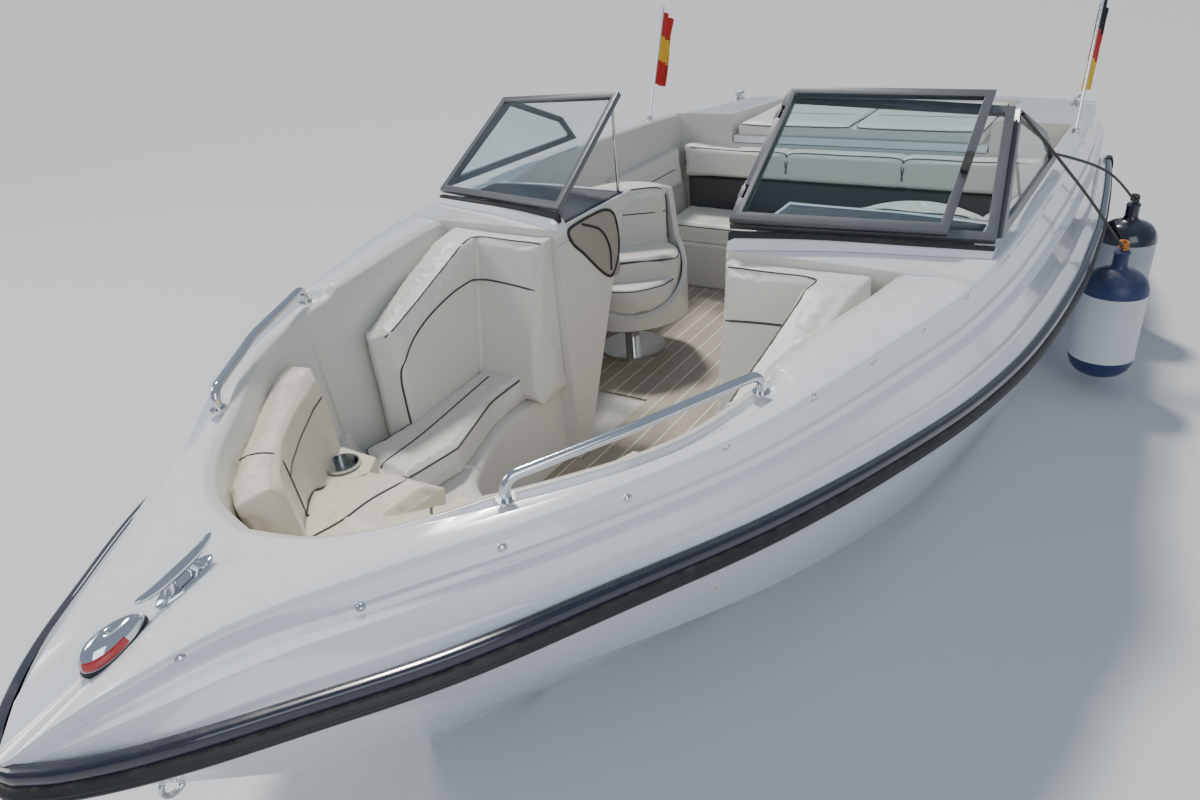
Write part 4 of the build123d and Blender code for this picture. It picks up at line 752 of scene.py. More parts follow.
def makeHull():
    # bottom with two strakes, chine and the thin strip of topside under the rail, then the transom
    stations = railStations()
    stations[0] = sternX + stern["round"]
    sections = []
    for x in stations:
        keel, chineY, chineZ = keelAt(x), chineYAt(x), chineZAt(x)
        railY, railZ = railYAt(x), railZAt(x) + hullForm["lap"] * narrowed(x)
        strake = hullForm["strake"] * min(1, chineY / hullForm["fullFrom"])
        points = [Vector((x, 0, keel))]
        for share in hullForm["strakes"]:
            y, z = chineY * share, keel + (chineZ - keel) * share
            points += [Vector((x, y, z)), Vector((x, y + strake * 1.4, z - strake * 0.3))]
        points += [Vector((x, chineY, chineZ)), Vector((x, chineY + strake * 1.2, chineZ + strake * 0.4))]
        middleY = chineY + (railY - chineY) * hullForm["middle"] + hullForm["bulge"]
        middleZ = chineZ + (railZ - chineZ) * hullForm["middle"]
        points += [Vector((x, middleY, middleZ)), Vector((x, railY, railZ))]
        sections.append(rounded(points, [0.004] * 6 + [0.3], 3))
    lastX = stations[0]
    half = sections[0] + rounded(sidePoints(lastX), [ease * mm for _, _, ease in sideForm[1:]])
    half.append(Vector((lastX, topYAt(lastX) - 0.01, topZAt(lastX) + 0.004)))
    half.append(Vector((lastX, 0, deckHeight(lastX, 0) + 0.006)))
    half = sternRows(half)[-1]
    sections = list(reversed(sternRows(sections[0]))) + sections
    vertices, faces, index = bothSides(sections)
    piece = newPiece("hullShell", vertices, faces, "gelcoatWhite", smoothAngle=32)
    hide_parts("hull")

    ring = half + [Vector((p.x, -p.y, p.z)) for p in reversed(half) if p.y > 0.001]
    centre = Vector((sternX, 0, 0.3))
    inset = [p.lerp(centre, 0.02) for p in ring]
    vertices = ring + inset
    count = len(ring)
    faces = [(i, (i + 1) % count, count + (i + 1) % count, count + i) for i in range(count)]
    faces.append(tuple(range(count, 2 * count)))
    transom = newPiece("transom", vertices, faces, "gelcoatWhite", smoothAngle=20)


def railSweep(name, section, finishName):
    # a section of out and up carried along the rail from the transom round the stem
    line = [Vector((x, railYAt(x), railZAt(x))) for x in railStations()]
    line += [Vector((stemX + 0.004, 0.012, railZAt(stemX)))]
    line += [Vector((p.x, -p.y, p.z)) for p in reversed(line)]
    vertices = []
    for i, point in enumerate(line):
        way = line[min(i + 1, len(line) - 1)] - line[max(i - 1, 0)]
        out = Vector((way.y, -way.x, 0)).normalized()
        if out.dot(Vector((point.x - 0.4, point.y, 0))) < 0:
            out.negate()
        vertices += [point + out * outward * mm + Vector((0, 0, upward * mm)) for outward, upward in section]
    columns = len(section)
    faces = gridFaces(len(line), columns)
    faces += [tuple(range(columns)), tuple(reversed(range((len(line) - 1) * columns, len(line) * columns)))]
    return newPiece(name, vertices, faces, finishName, smoothAngle=50)


# rub rail: gloss band above, ribbed rubber below, and the cap of its aft ends, in mm out and up
railBand = [(-6, 32), (8, 33), (13, 31), (16, 27), (17, 20), (17, 9), (15, 5), (-6, 5)]
railRibs = [(-6, 6), (16, 6), (21, 4), (23.5, 0), (25.5, -3), (23, -6), (25.5, -9), (25.8, -12),
            (23, -15), (25.5, -18), (25, -21), (22, -24), (20, -28), (13, -32), (-6, -33)]
railCap = [(-8, 36), (10, 37), (20, 32), (28, 10), (30, -12), (26, -30), (14, -37), (-8, -37)]
# the cap's rings: place before the stern in metres, and size
capRings = [(0.050, 1.0), (0.046, 1.06), (-0.002, 1.06), (-0.008, 0.9)]


def makeRail():
    band = railSweep("rubRailBand", railBand, "navyGloss")
    ribs = railSweep("rubRailRubber", railRibs, "railRubber")
    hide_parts("rub_rail")
    vertices, faces = [], []
    for side, _ in boatSides:
        first, count = len(vertices), len(railCap)
        for ahead, size in capRings:
            x = sternX + ahead
            for outward, upward in railCap:
                y = railYAt(x) + outward * mm * size
                vertices.append(Vector((x, y * side, railZAt(x) + upward * mm * size)))
        last = first + (len(capRings) - 1) * count
        faces += gridFaces(len(capRings), count, first, side < 0, True)
        faces.append(tuple(first + k for k in range(count)))
        faces.append(tuple(last + k for k in reversed(range(count))))
    newPiece("rubRailCaps", vertices, faces, "blackPlastic", smoothAngle=40)


def openBox(low, high, openSides, vertices, faces):
    # inside faces of a box, apart from the sides named x0 x1 y0 y1 z0 z1
    corners = [(x, y, z) for x in (low[0], high[0]) for y in (low[1], high[1]) for z in (low[2], high[2])]
    sides = {"x0": (0, 1, 3, 2), "x1": (4, 6, 7, 5), "y0": (0, 4, 5, 1), "y1": (2, 3, 7, 6),
             "z0": (0, 2, 6, 4), "z1": (1, 5, 7, 3)}
    first = len(vertices)
    vertices += corners
    faces += [tuple(first + k for k in side) for name, side in sides.items() if name not in openSides]


# engine bay: two corners of its box, and the outer edge of the rim round it, in metres
engineBay = {"low": (-1.9, -0.6, -0.15), "high": (-1.19, 0.6, 0.768), "rimX": (-1.938, -1.131), "rimY": 0.62}
dashWall = {"aftX": 0.501, "foreX": 0.994, "topZ": 0.95, "middleZ": 0.968}


def makeInside():
    # consoles seen from aft, the wall round them, the wall under the bench, and the floor beneath all
    vertices, faces = [], []
    floorZ, legHalf, top = cockpit["floorZ"], cockpit["legHalf"], cockpit["dashTop"]
    walkHalf, x = cockpit["walkHalf"], dashWall["aftX"]
    for side, _ in boatSides:
        inner, outer = sorted((side * walkHalf, side * legHalf))
        shut = "y0" if side > 0 else "y1"
        openBox((x, inner, floorZ), (dashWall["foreX"], outer, top), ("x0", shut), vertices, faces)
        first = len(vertices)
        vertices += [(x, side * y, z) for y, z in (
            (legHalf, floorZ), (wallHalf(0.5, floorZ), floorZ),
            (wallHalf(0.5, dashWall["topZ"]), dashWall["topZ"]), (walkHalf, dashWall["middleZ"]),
            (walkHalf, top), (legHalf, top))]
        faces.append(tuple(first + k for k in range(6)))
    first, aft, benchZ = len(vertices), cockpit["aftX"] - 0.0005, engineBay["high"][2]
    vertices += [(aft, -0.886, floorZ), (aft, 0.886, floorZ), (aft, 0.93, benchZ), (aft, -0.93, benchZ)]
    faces.append(tuple(first + k for k in range(4)))
    first = len(vertices)
    vertices += [(x, y, floorZ) for x, y in ((-1.131, -0.95), (0.502, -0.81), (0.502, 0.81), (-1.131, 0.95))]
    faces.append(tuple(first + k for k in range(4)))
    # aft wall of the hatch's recess, up to a flange under the deck
    first, aft, half = len(vertices), cockpit["hatchAftX"], cockpit["hatchHalf"]
    across = spread(-half, half, 9)
    for back, lowered in ((0.002, None), (0.002, 0.001), (-0.010, 0.001)):
        for y in across:
            height = cockpit["hatchZ"] - 0.004 if lowered is None else deckHeight(aft, y) - lowered
            vertices.append((aft + back, y, height))
    faces += gridFaces(3, len(across), first)
    piece = newPiece("innerWalls", vertices, faces, "gelcoatLiner", smoothAngle=20)

    vertices, faces = [], []
    low, high, (aft, fore), half = (engineBay[k] for k in ("low", "high", "rimX", "rimY"))
    openBox(low, high, ("z1",), vertices, faces)
    outer = [(aft, -half), (fore, -half), (fore, half), (aft, half)]
    inner = [(low[0], low[1]), (high[0], low[1]), (high[0], high[1]), (low[0], high[1])]
    first = len(vertices)
    vertices += [(x, y, high[2]) for x, y in outer + inner]
    faces += [(first + k, first + (k + 1) % 4, first + 4 + (k + 1) % 4, first + 4 + k) for k in range(4)]
    bay = newPiece("engineBay", vertices, faces, "bayGrey", smoothAngle=20)


print("hull and deck")
makeDeck()
makeHull()
makeRail()
makeInside()


# CAD pieces that keep their shape: eased edges and their finish
def dress(name, finishName, ease=0.0):
    piece = nodes[name]
    piece.data.materials.clear()
    piece.data.materials.append(finish(finishName))
    if ease:
        weld = piece.modifiers.new("weld", "WELD")
        weld.merge_threshold = 0.00005
        flat = piece.modifiers.new("flat", "DECIMATE")
        flat.decimate_type = "DISSOLVE"
        flat.angle_limit = math.radians(1)
        bevel = piece.modifiers.new("ease", "BEVEL")
        bevel.width = ease
        bevel.segments = 3
        bevel.limit_method = "ANGLE"
        bevel.angle_limit = math.radians(30)
        bevel.use_clamp_overlap = True
        bevel.harden_normals = True
        piece.data.shade_smooth()


# eased pieces with their radius in metres, then plain ones by finish
eased = {
    "bench_base": ("gelcoatLiner", 0.018), "engine_hatch": ("gelcoatWhite", 0.006),
    "console_port": ("gelcoatLiner", 0.012), "console_starboard": ("gelcoatLiner", 0.012),
    "cockpit_floor": ("plankFloor", 0.002), "windshield_frame_port": ("frameGrey", 0.003),
    "windshield_frame_starboard": ("frameGrey", 0.003), "door_frame": ("frameGrey", 0.003),
    "throttle": ("blackPlastic", 0.004), "gimbal_housing": ("drivePaint", 0.006),
    "gimbal_ring": ("drivePaint", 0.005), "drive_leg": ("drivePaint", 0.008),
    "engine_block": ("engineGrey", 0.02),
}
plain = {
    "gelcoatWhite": ["swim_platform"],
    "gelcoatLiner": ["helm_seat_shell", "companion_seat_shell"],
    "tintedGlass": ["windshield_glass_port", "windshield_glass_starboard", "door_glass"],
    "blackPlastic": ["door_latch", "steering_wheel"],
    "drivePaint": ["propeller"],
    "steel": ["brace_rod", "helm_pedestal", "companion_pedestal", "cup_holder", "grab_rails", "bow_eye",
              "hatch_hinges", "flag_staffs", "trim_cylinders", "trim_rods"],
}
for name, (finishName, ease) in eased.items():
    dress(name, finishName, ease)
for finishName, names in plain.items():
    for name in names:
        dress(name, finishName)
print("fittings dressed")


# cushions: voxel size, rounds of softening, how far a face may swell, fill, finish, body and slot
cushions = {
    "bow_backrests": (0.007, 6, 0.013, 0.8, "vinylWhite", "boat", "vinyl"),
    "bow_seats": (0.006, 6, 0.010, 0.7, "vinylWhite", "boat", "vinyl"),
    "bow_front_pads": (0.006, 6, 0.013, 0.8, "vinylCream", "boat", "vinyl"),
    "dash_pod": (0.006, 7, 0.006, 0.9, "dashTaupe", "boat", "dash_vinyl"),
    "helm_seat_cushions": (0.007, 6, 0.012, 0.8, "vinylWhite", "helm_seat", "vinyl"),
    "companion_seat_cushions": (0.007, 6, 0.012, 0.8, "vinylWhite", "companion_seat", "vinyl"),
    "bench_seats": (0.009, 4, 0.012, 0.8, "vinylWhite", "boat", "vinyl"),
    "bench_backs": (0.009, 4, 0.012, 0.8, "vinylWhite", "boat", "vinyl"),
    "bench_panel": (0.009, 3, 0.006, 0.8, "vinylCharcoal", "boat", "charcoal_vinyl"),
    "side_pads": (0.009, 3, 0.008, 0.8, "vinylWhite", "boat", "vinyl"),
    "sun_pad": (0.009, 4, 0.012, 0.8, "vinylWhite", "hatch", "vinyl"),
}
swelling = {"pressure": 4.0, "frames": 20, "mass": 0.3, "tension": 12, "bending": 0.6}

# bow cushions as fitted to the sides: port half in mm, plan at the foot and at the top, with their heights
seatRing = [(1120, 400), (1120, 585), (1540, 560), (1735, 575), (1800, 480), (1812, 330), (1600, 298),
            (1320, 385)]
padRing = [(1940, 24), (1945, 170), (1985, 250), (2060, 306), (2150, 306), (2230, 250), (2285, 150),
           (2300, 24)]
bolsterFoot = [(1880, 560), (1960, 522), (2080, 428), (2170, 352), (2250, 283), (2325, 205), (2375, 120),
               (2300, 95), (2245, 180), (2160, 270), (2060, 350), (1950, 430), (1880, 470)]
bolsterTop = [(1885, 598), (1975, 553), (2105, 450), (2200, 368), (2285, 296), (2360, 212), (2405, 125),
              (2330, 105), (2275, 190), (2188, 284), (2085, 370), (1972, 452), (1885, 500)]
fitted = {
    "bow_seats": [(seatRing, seatRing, 400, 490)],
    "bow_front_pads": [(padRing, padRing, 560, 655), (bolsterFoot, bolsterTop, 562, 862)],
}


def ringSolids(parts):
    # closed solids between two plans, on both sides of the boat
    vertices, faces = [], []
    for footRing, topRing, low, high in parts:
        for side, _ in boatSides:
            first, count = len(vertices), len(footRing)
            vertices += [(x * mm, y * side * mm, low * mm) for x, y in footRing]
            vertices += [(x * mm, y * side * mm, high * mm) for x, y in topRing]
            walls = [(k, (k + 1) % count, count + (k + 1) % count, count + k) for k in range(count)]
            caps = [tuple(reversed(range(count))), tuple(range(count, 2 * count))]
            for face in walls + caps:
                turned = face if side > 0 else tuple(reversed(face))
                faces.append(tuple(first + k for k in reversed(turned)))
    mesh = bpy.data.meshes.new("fitted")
    mesh.from_pydata(vertices, [], faces)
    return mesh


def swell(made):
    # each cushion: a voxel copy of its CAD solid, softened, then filled by pressure
    pieces = {}
    for name, (voxel, rounds, rise, fill, finishName, body, slotName) in made.items():
        source = ringSolids(fitted[name]) if name in fitted else nodes[name].data.copy()
        piece = bpy.data.objects.new(name + ".soft", source)
        bpy.context.scene.collection.objects.link(piece)
        remesh = piece.modifiers.new("remesh", "REMESH")
        remesh.mode = "VOXEL"
        remesh.voxel_size = voxel * 1
        smooth = piece.modifiers.new("smooth", "SMOOTH")
        smooth.iterations = rounds
        smooth.factor = 0.5
        bpy.context.view_layer.update()
        whole = piece.evaluated_get(bpy.context.evaluated_depsgraph_get())
        piece.data = bpy.data.meshes.new_from_object(whole)
        piece.modifiers.clear()
        piece.data.materials.clear()
        piece.data.materials.append(finish(finishName))
        piece.data.shade_smooth()
        cloth = piece.modifiers.new("cloth", "CLOTH")
        cloth.settings.quality = 4
        cloth.settings.mass = swelling["mass"]
        cloth.settings.tension_stiffness = swelling["tension"]
        cloth.settings.compression_stiffness = swelling["tension"]
        cloth.settings.bending_stiffness = swelling["bending"]
        cloth.settings.use_pressure = True
        cloth.settings.uniform_pressure_force = swelling["pressure"]
        cloth.settings.effector_weights.gravity = 0
        pieces[name] = piece
    for number in range(1, swelling["frames"] + 1):
        bpy.context.scene.frame_set(number)
    shown = bpy.context.evaluated_depsgraph_get()
    for name, piece in pieces.items():
        rise = made[name][2]
        swollen = piece.evaluated_get(shown).data
        for vertex, moved in zip(piece.data.vertices, swollen.vertices):
            step = moved.co - vertex.co
            vertex.co += step * min(1, rise / max(step.length, 1e-6))
        piece.modifiers.clear()
    bpy.context.scene.frame_set(1)
    for name, piece in pieces.items():
        voxel, rounds, rise, fill, finishName, body, slotName = made[name]
        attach(piece, body)
        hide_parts(name)
    return pieces


softPieces = swell(cushions)
print("cushions filled")


def treeOf(*pieces):
    vertices, faces = [], []
    for piece in pieces:
        first = len(vertices)
        vertices += [v.co.copy() for v in piece.data.vertices]
        faces += [tuple(first + k for k in polygon.vertices) for polygon in piece.data.polygons]
    return BVHTree.FromPolygons(vertices, faces)


def laidOn(tree, points, closed=False):
    # a smooth line through points in mm, moved to the surface and eased along itself
    line = smoothLine([Vector(p) * mm for p in points], 10, closed)
    out = [tree.find_nearest(point)[0] for point in line]
    for _ in range(3):
        count = len(out)
        ends = range(count) if closed else range(1, count - 1)
        eased = {i: (out[i - 1] + out[i] * 2 + out[(i + 1) % count]) / 4 for i in ends}
        out = [eased.get(i, out[i]) for i in range(count)]
    return out


def ringOf(points, inset, height):
    # closed outline in plan, drawn in by an inset, with extra points beside its corners
    count = len(points)
    centre = Vector((sum(p[0] for p in points) / count, sum(p[1] for p in points) / count))
    out = []
    for i, point in enumerate(points):
        corner = Vector(point)
        for other, share in ((points[i - 1], 0.12), (points[(i + 1) % count], 0.12)):
            beside = corner.lerp(Vector(other), share)
            pull = (centre - beside).normalized() * inset
            out.append((beside.x + pull.x, beside.y + pull.y, height))
    return out


# piping in mm: cushion, radius, whether it is a closed ring, whether it is there to starboard too, and
# its points to port
seams = [
    ("bow_seats", 3.4, True, True, ringOf(seatRing, 8, 490)),
    ("bow_seats", 3.0, False, True,
     [(1200, 505, 490), (1400, 478, 490), (1600, 452, 490), (1720, 448, 490), (1800, 446, 480),
      (1806, 446, 420)]),
    ("bow_backrests", 3.4, False, True,
     [(1090, 345, 800), (1086, 420, 806), (1092, 520, 812), (1150, 580, 820), (1260, 574, 816),
      (1400, 560, 786), (1500, 552, 735), (1545, 548, 660), (1550, 546, 560), (1545, 548, 470)]),
    ("bow_backrests", 2.6, False, True,
     [(1052, 330, 950), (1052, 480, 952), (1062, 590, 956), (1130, 590, 950), (1300, 574, 896),
      (1450, 560, 842), (1580, 552, 794)]),
    ("bow_front_pads", 3.2, False, True,
     [(1944, 60, 630), (1950, 168, 650), (1990, 246, 655), (2062, 300, 655), (2150, 300, 655),
      (2226, 246, 650)]),
    ("bow_front_pads", 3.4, False, True,
     [(2270, 150, 655), (2180, 130, 657), (2090, 130, 657), (1990, 110, 655)]),
    ("bow_front_pads", 3.0, False, True,
     [(2280, 290, 850), (2240, 245, 862), (2225, 240, 780), (2212, 228, 640)]),
    ("bow_front_pads", 2.4, False, True,
     [(1892, 494, 780), (1975, 448, 780), (2085, 364, 780), (2160, 300, 780), (2216, 244, 780)]),
    ("sun_pad", 3.4, True, True, ringOf([(-1852, 4), (-1852, 618), (-1138, 618), (-1138, 4)], 10, 865)),
    ("sun_pad", 2.4, False, True, [(-1620, 12, 865), (-1620, 300, 865), (-1620, 610, 865)]),
    ("sun_pad", 2.4, False, True, [(-1380, 12, 865), (-1380, 300, 865), (-1380, 610, 865)]),
    ("side_pads", 2.6, False, True, [(-1010, 905, 660), (-700, 905, 660), (-345, 905, 660)]),
    ("bench_panel", 2.6, False, False, [(-1065, -860, 470), (-1065, 0, 470), (-1065, 860, 470)]),
]
# the bench's three parts, from and to across the boat, and where the piping runs on seats and backs
bench = {
    "parts": [(-870, -294), (-286, 286), (294, 870)], "aft": -1060, "fore": -724, "seat": 430, "back": -1026,
    "foot": 612, "top": 755, "middle": 760, "inset": 8, "pipe": 3.2,
}
for low, high in bench["parts"]:
    aft, fore, back, foot, top = (bench[k] for k in ("aft", "fore", "back", "foot", "top"))
    left, right = low + bench["inset"], high - bench["inset"]
    seams.append(("bench_seats", bench["pipe"], True, False,
                  ringOf([(aft, low), (aft, high), (fore, high), (fore, low)], 9, bench["seat"])))
    seams.append(("bench_backs", bench["pipe"], False, False,
                  [(back, left, foot), (back, left, top), (back, (low + high) / 2, bench["middle"]),
                   (back, right, top), (back, right, foot)]))

# pedestal seats: where their posts stand in mm, and each seat's side and turn in degrees
pedestal = {"x": 80, "y": 600, "seats": (("helm", -1, 35), ("companion", 1, 0))}


def seatPoint(side, turn, point):
    # a point of a pedestal seat, told from its own middle, in the boat's frame
    spin = math.radians(turn)
    x, y, z = point
    return (pedestal["x"] + x * math.cos(spin) - y * math.sin(spin),
            side * pedestal["y"] + x * math.sin(spin) + y * math.cos(spin), z)


# piping of a pedestal seat: radius and points in mm from its own middle
seatSeams = [
    (3.2, [(118, -205, 560), (118, 0, 562), (118, 205, 560), (0, 232, 560), (-95, 215, 560)]),
    (3.2, [(118, 205, 560), (118, -205, 560), (0, -232, 560), (-95, -215, 560)]),
    (3.2, [(-116, -195, 575), (-116, -190, 800), (-116, 0, 812), (-116, 190, 800), (-116, 195, 575)]),
    (2.6, [(-116, -192, 700), (-114, 0, 702), (-116, 192, 700)]),
    (3.2, [(128, -190, 470), (200, -120, 470), (236, 0, 470), (200, 120, 470), (128, 190, 470)]),
]


def makeSeams():
    trees = {name: treeOf(piece) for name, piece in softPieces.items()}
    bodies = {name: values[5] for name, values in cushions.items()}
    for number, (name, radius, closed, both, points) in enumerate(seams):
        for side, sideName in boatSides if both else boatSides[:1]:
            line = laidOn(trees[name], [(x, y * side, z) for x, y, z in points], closed)
            label = "seam." + name + "." + str(number) + sideName[0]
            tubeAlong(label, line, radius * mm, "piping", bodies[name], closed, 8)
    for label, side, turn in pedestal["seats"]:
        name = label + "_seat_cushions"
        for number, (radius, points) in enumerate(seatSeams):
            line = laidOn(trees[name], [seatPoint(side, turn, p) for p in points])
            piece = tubeAlong("seam." + name + "." + str(number), line, radius * mm, "piping", bodies[name],
                              False, 8)


makeSeams()
print("seams sewn")

# fittings on the skin: found by looking straight at the moulding
skinTree = treeOf(bpy.data.objects["deckMoulding"])


def skinPoint(point, way):
    place, normal = skinTree.ray_cast(Vector(point) * mm, Vector(way).normalized())[:2]
    if place is None:
        place, normal = skinTree.find_nearest(Vector(point) * mm)[:2]
    return place, normal if normal.dot(Vector(way)) < 0 else -normal


def skinBelow(x, y):
    # the moulding's skin under a place in mm, found from above everything
    return skinPoint((x, y, 1400), (0, 0, -1))


# cover snaps on the shoulder, to port in mm, looked for from 60 mm further out and up
snapSpots = [(2723, 139, 850), (2500, 330, 862), (2289, 461, 874), (2080, 600, 890), (1882, 708, 914),
             (1660, 790, 920), (1446, 861, 925), (1240, 925, 930), (1036, 973, 940), (700, 1012, 935),
             (200, 1030, 925), (-300, 1038, 915), (-800, 1038, 900), (-1300, 1030, 870), (-1800, 1000, 830)]
snapProfile = [(0.0, 0.0042), (0.0035, 0.0040), (0.0062, 0.0028), (0.0072, 0.0010), (0.0088, 0.0006),
               (0.0090, -0.0012)]
snapAway = 60


def makeSnaps():
    spots = []
    for x, y, z in snapSpots:
        for side, _ in boatSides:
            spots.append(skinPoint((x, side * (y + snapAway), z + snapAway), (0, -side, -1)))
    mergedLathe("coverSnaps", snapProfile, spots, "steel")


# polished cleat in metres: foot, two legs and a horn with raised tips, told along its own length
cleat = {
    "long": 0.165, "foot": (0.062, 0.024), "height": 0.031, "sunk": 0.004, "horn": 0.0100, "tipUp": 0.012,
    "legFoot": 0.030, "legLean": 0.012, "leg": 0.0125, "waist": 0.0045,
}
cleatRings = [(1.0, -0.001), (1.0, 0.0022), (0.93, 0.0046), (0.75, 0.0054), (0.0, 0.0056)]
# where they stand in mm, and their heading in degrees
cleatSpots = [((2611, 0), 0), ((-1840, 905), 4), ((-1840, -905), -4)]


def makeCleats():
    for number, (at, heading) in enumerate(cleatSpots):
        place, normal = skinBelow(*at)
        ahead = Vector((math.cos(math.radians(heading)), -math.sin(math.radians(heading)), 0))
        ahead = (ahead - normal * ahead.dot(normal)).normalized()
        half, rise = cleat["long"] / 2, cleat["height"] - cleat["sunk"]
        horn, radii = [], []
        for k in range(21):
            t = k / 10 - 1
            horn.append(place + ahead * half * t + normal * (rise + cleat["tipUp"] * abs(t) ** 3))
            radii.append(cleat["horn"] * (1 - 0.5 * abs(t) ** 2.5) * (0.55 if k in (0, 20) else 1))
        tubeAlong("cleatHorn." + str(number), horn, radii, "steel", sides=16)
        for end, label in ((-1, "a"), (1, "f")):
            leg, radii = [], []
            for k in range(7):
                out = end * (cleat["legFoot"] - cleat["legLean"] * k / 6)
                leg.append(place + ahead * out + normal * rise * k / 6)
                radii.append(cleat["leg"] - cleat["waist"] * math.sin(math.pi / 2 * k / 6))
            tubeAlong("cleatLeg." + str(number) + label, leg, radii, "steel", sides=16)
        vertices, faces = ovalRings(place, normal, ahead, cleat["foot"], cleatRings, 40)
        newPiece("cleatFoot." + str(number), vertices, faces, "steel")
    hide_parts("deck_cleats")


# navigation light: place in mm, sizes in metres, and the lenses' rows and turns in degrees
navLight = {
    "at": (2753, 0), "halves": (0.060, 0.034), "high": 0.036, "base": 0.007, "taper": 0.30, "sides": 48,
    "rows": 16, "lensRows": (1, 5), "lensTurns": (8, 105),
}
navRings = [(1.06, -0.004), (1.06, 0.004), (1.02, 0.0075), (0.9, 0.0078)]


def makeNavLight():
    # drop shaped housing with a red lens to port and a green one to starboard, on a black base
    place, normal = skinBelow(*navLight["at"])
    ahead = Vector((1, 0, 0))
    ahead = (ahead - normal * ahead.dot(normal)).normalized()
    aside = normal.cross(ahead)
    count, rows, (long, wide) = navLight["sides"], navLight["rows"], navLight["halves"]
    lowRow, highRow = navLight["lensRows"]
    start, end = navLight["lensTurns"]
    vertices, index = [], []
    for i in range(rows + 1):
        lift = math.sin(math.pi / 2 * i / rows)
        size = math.cos(math.pi / 2 * i / rows) ** 0.7
        for k in range(count):
            turn = 2 * math.pi * k / count
            along = math.cos(turn)
            taper = 1 - navLight["taper"] * (1 - along) / 2
            height = navLight["base"] + navLight["high"] * lift * (1 - 0.12 * (1 - along))
            vertices.append(place + ahead * long * along * size
                            + aside * wide * math.sin(turn) * size * taper + normal * height)
    faces = gridFaces(rows + 1, count, 0, False, True)
    for i in range(rows):
        for k in range(count):
            turn = 360 * (k + 0.5) / count
            lens = 1 if start < turn < end else 2 if 360 - end < turn < 360 - start else 0
            index.append(lens if lowRow <= i <= highRow else 0)
    dome = newPiece("navLightDome", vertices, faces, ["steel", "lensRed", "lensGreen"], faceFinish=index)
    vertices, faces = ovalRings(place, normal, ahead, (long, wide), navRings, count, navLight["taper"])
    base = newPiece("navLightBase", vertices, faces, "blackPlastic")
    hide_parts("nav_light")


# speakers: a place before the wall in mm from which it is looked for, sizes in metres
speaker = {
    "from": (1700, 200, 720), "way": (0.4, 1, 0), "halves": (0.098, 0.062), "sides": 72, "waves": 5,
    "twist": 1.2, "ripple": 0.0022, "grille": 0.86, "rows": 28, "dome": 0.28, "deep": 0.003, "domeUp": 0.004,
}
bezelRings = [(1.04, -0.002), (1.05, 0.004), (1.0, 0.009), (0.93, 0.0100), (0.86, 0.0070), (0.84, 0.001)]


def grilleWave(size, turn):
    # curved ribs over the grille, from -1 to 1
    return math.cos(size * math.sin(turn + speaker["twist"] * size) * speaker["waves"] * 2 * math.pi)


def makeSpeakers():
    # oval bezel, dished wavy grille and a centre dome, on the side of the bow cockpit
    count, rows, domeSize = speaker["sides"], speaker["rows"], speaker["dome"]
    long, wide = speaker["halves"]
    for side, label in boatSides:
        x, y, z = speaker["from"]
        ahead, out, up = speaker["way"]
        place, normal = skinPoint((x, side * y, z), (ahead, side * out, up))
        upward = (Vector((0, 0, 1)) - normal * normal.z).normalized()
        aside = normal.cross(upward)
        vertices, faces = ovalRings(place, normal, upward, (long, wide), bezelRings, count)
        bezel = newPiece("speakerBezel." + label, vertices, faces, "gelcoatWhite")
        vertices, index = [], []
        for i in range(rows + 1):
            size = speaker["grille"] - speaker["grille"] * i / rows
            for k in range(count):
                turn = 2 * math.pi * k / count
                ripple = speaker["ripple"] * grilleWave(size, turn) * (1 if size > domeSize else 0.2)
                height = speaker["deep"] + ripple + (speaker["domeUp"] if size < domeSize else 0)
                vertices.append(place + upward * long * size * math.cos(turn)
                                + aside * wide * size * math.sin(turn) + normal * height)
                bright = size < domeSize or grilleWave(size, turn + math.pi / count) > 0.2
                index.append(1 if bright else 0)
        grille = newPiece("speakerGrille." + label, vertices, gridFaces(rows + 1, count, 0, False, True),
                          ["blackPlastic", "silverPlastic"], faceFinish=index, weld=0.00005)
        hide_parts("speakers")


# dark panels on the deck behind each pane: edges in mm, how far the fore one sweeps aft, thickness
dashPanel = {
    "aft": 530, "fore": 940, "sweep": 215, "inner": 318, "outer": 920, "rows": 14, "columns": 24,
    "thick": 0.003, "lift": 0.0025,
}


def makeDashTop():
    aft, inner, rows, columns = (dashPanel[k] for k in ("aft", "inner", "rows", "columns"))
    for side, label in boatSides:
        vertices = []
        for i in range(rows + 1):
            for j in range(columns + 1):
                share = j / columns
                x = aft + (dashPanel["fore"] - dashPanel["sweep"] * share - aft) * i / rows
                y = side * (inner + (dashPanel["outer"] - inner) * share)
                vertices.append(skinBelow(x, y)[0] + Vector((0, 0, dashPanel["lift"])))
        faces = gridFaces(rows + 1, columns + 1, 0, side > 0)
        piece = newPiece("dashTop." + label, vertices, faces, "dashNavy", smoothAngle=60)
        thick = piece.modifiers.new("thick", "SOLIDIFY")
        thick.thickness = dashPanel["thick"]
        thick.offset = -1


# in mm: cup trays in plan with their two heights, the dash's hood and its stripe from the side
trayRing = [(1892, 318), (1892, 446), (1960, 462), (2055, 392), (2068, 318), (1984, 262)]
trayHeights = (558, 626)
hoodRing = [(930, 945), (905, 962), (780, 966), (690, 958), (640, 925), (622, 850), (630, 780), (668, 722),
            (700, 715), (760, 760), (850, 850), (905, 900)]
hoodSides = (-296, -328)
hoodStripe = [(850, -295, 955), (740, -294, 900), (690, -294, 820), (690, -295, 735)]
# cup hole in metres: place, radius and depth
cupHole = (1.965, -0.372, 0.60, 0.0485, 0.2)


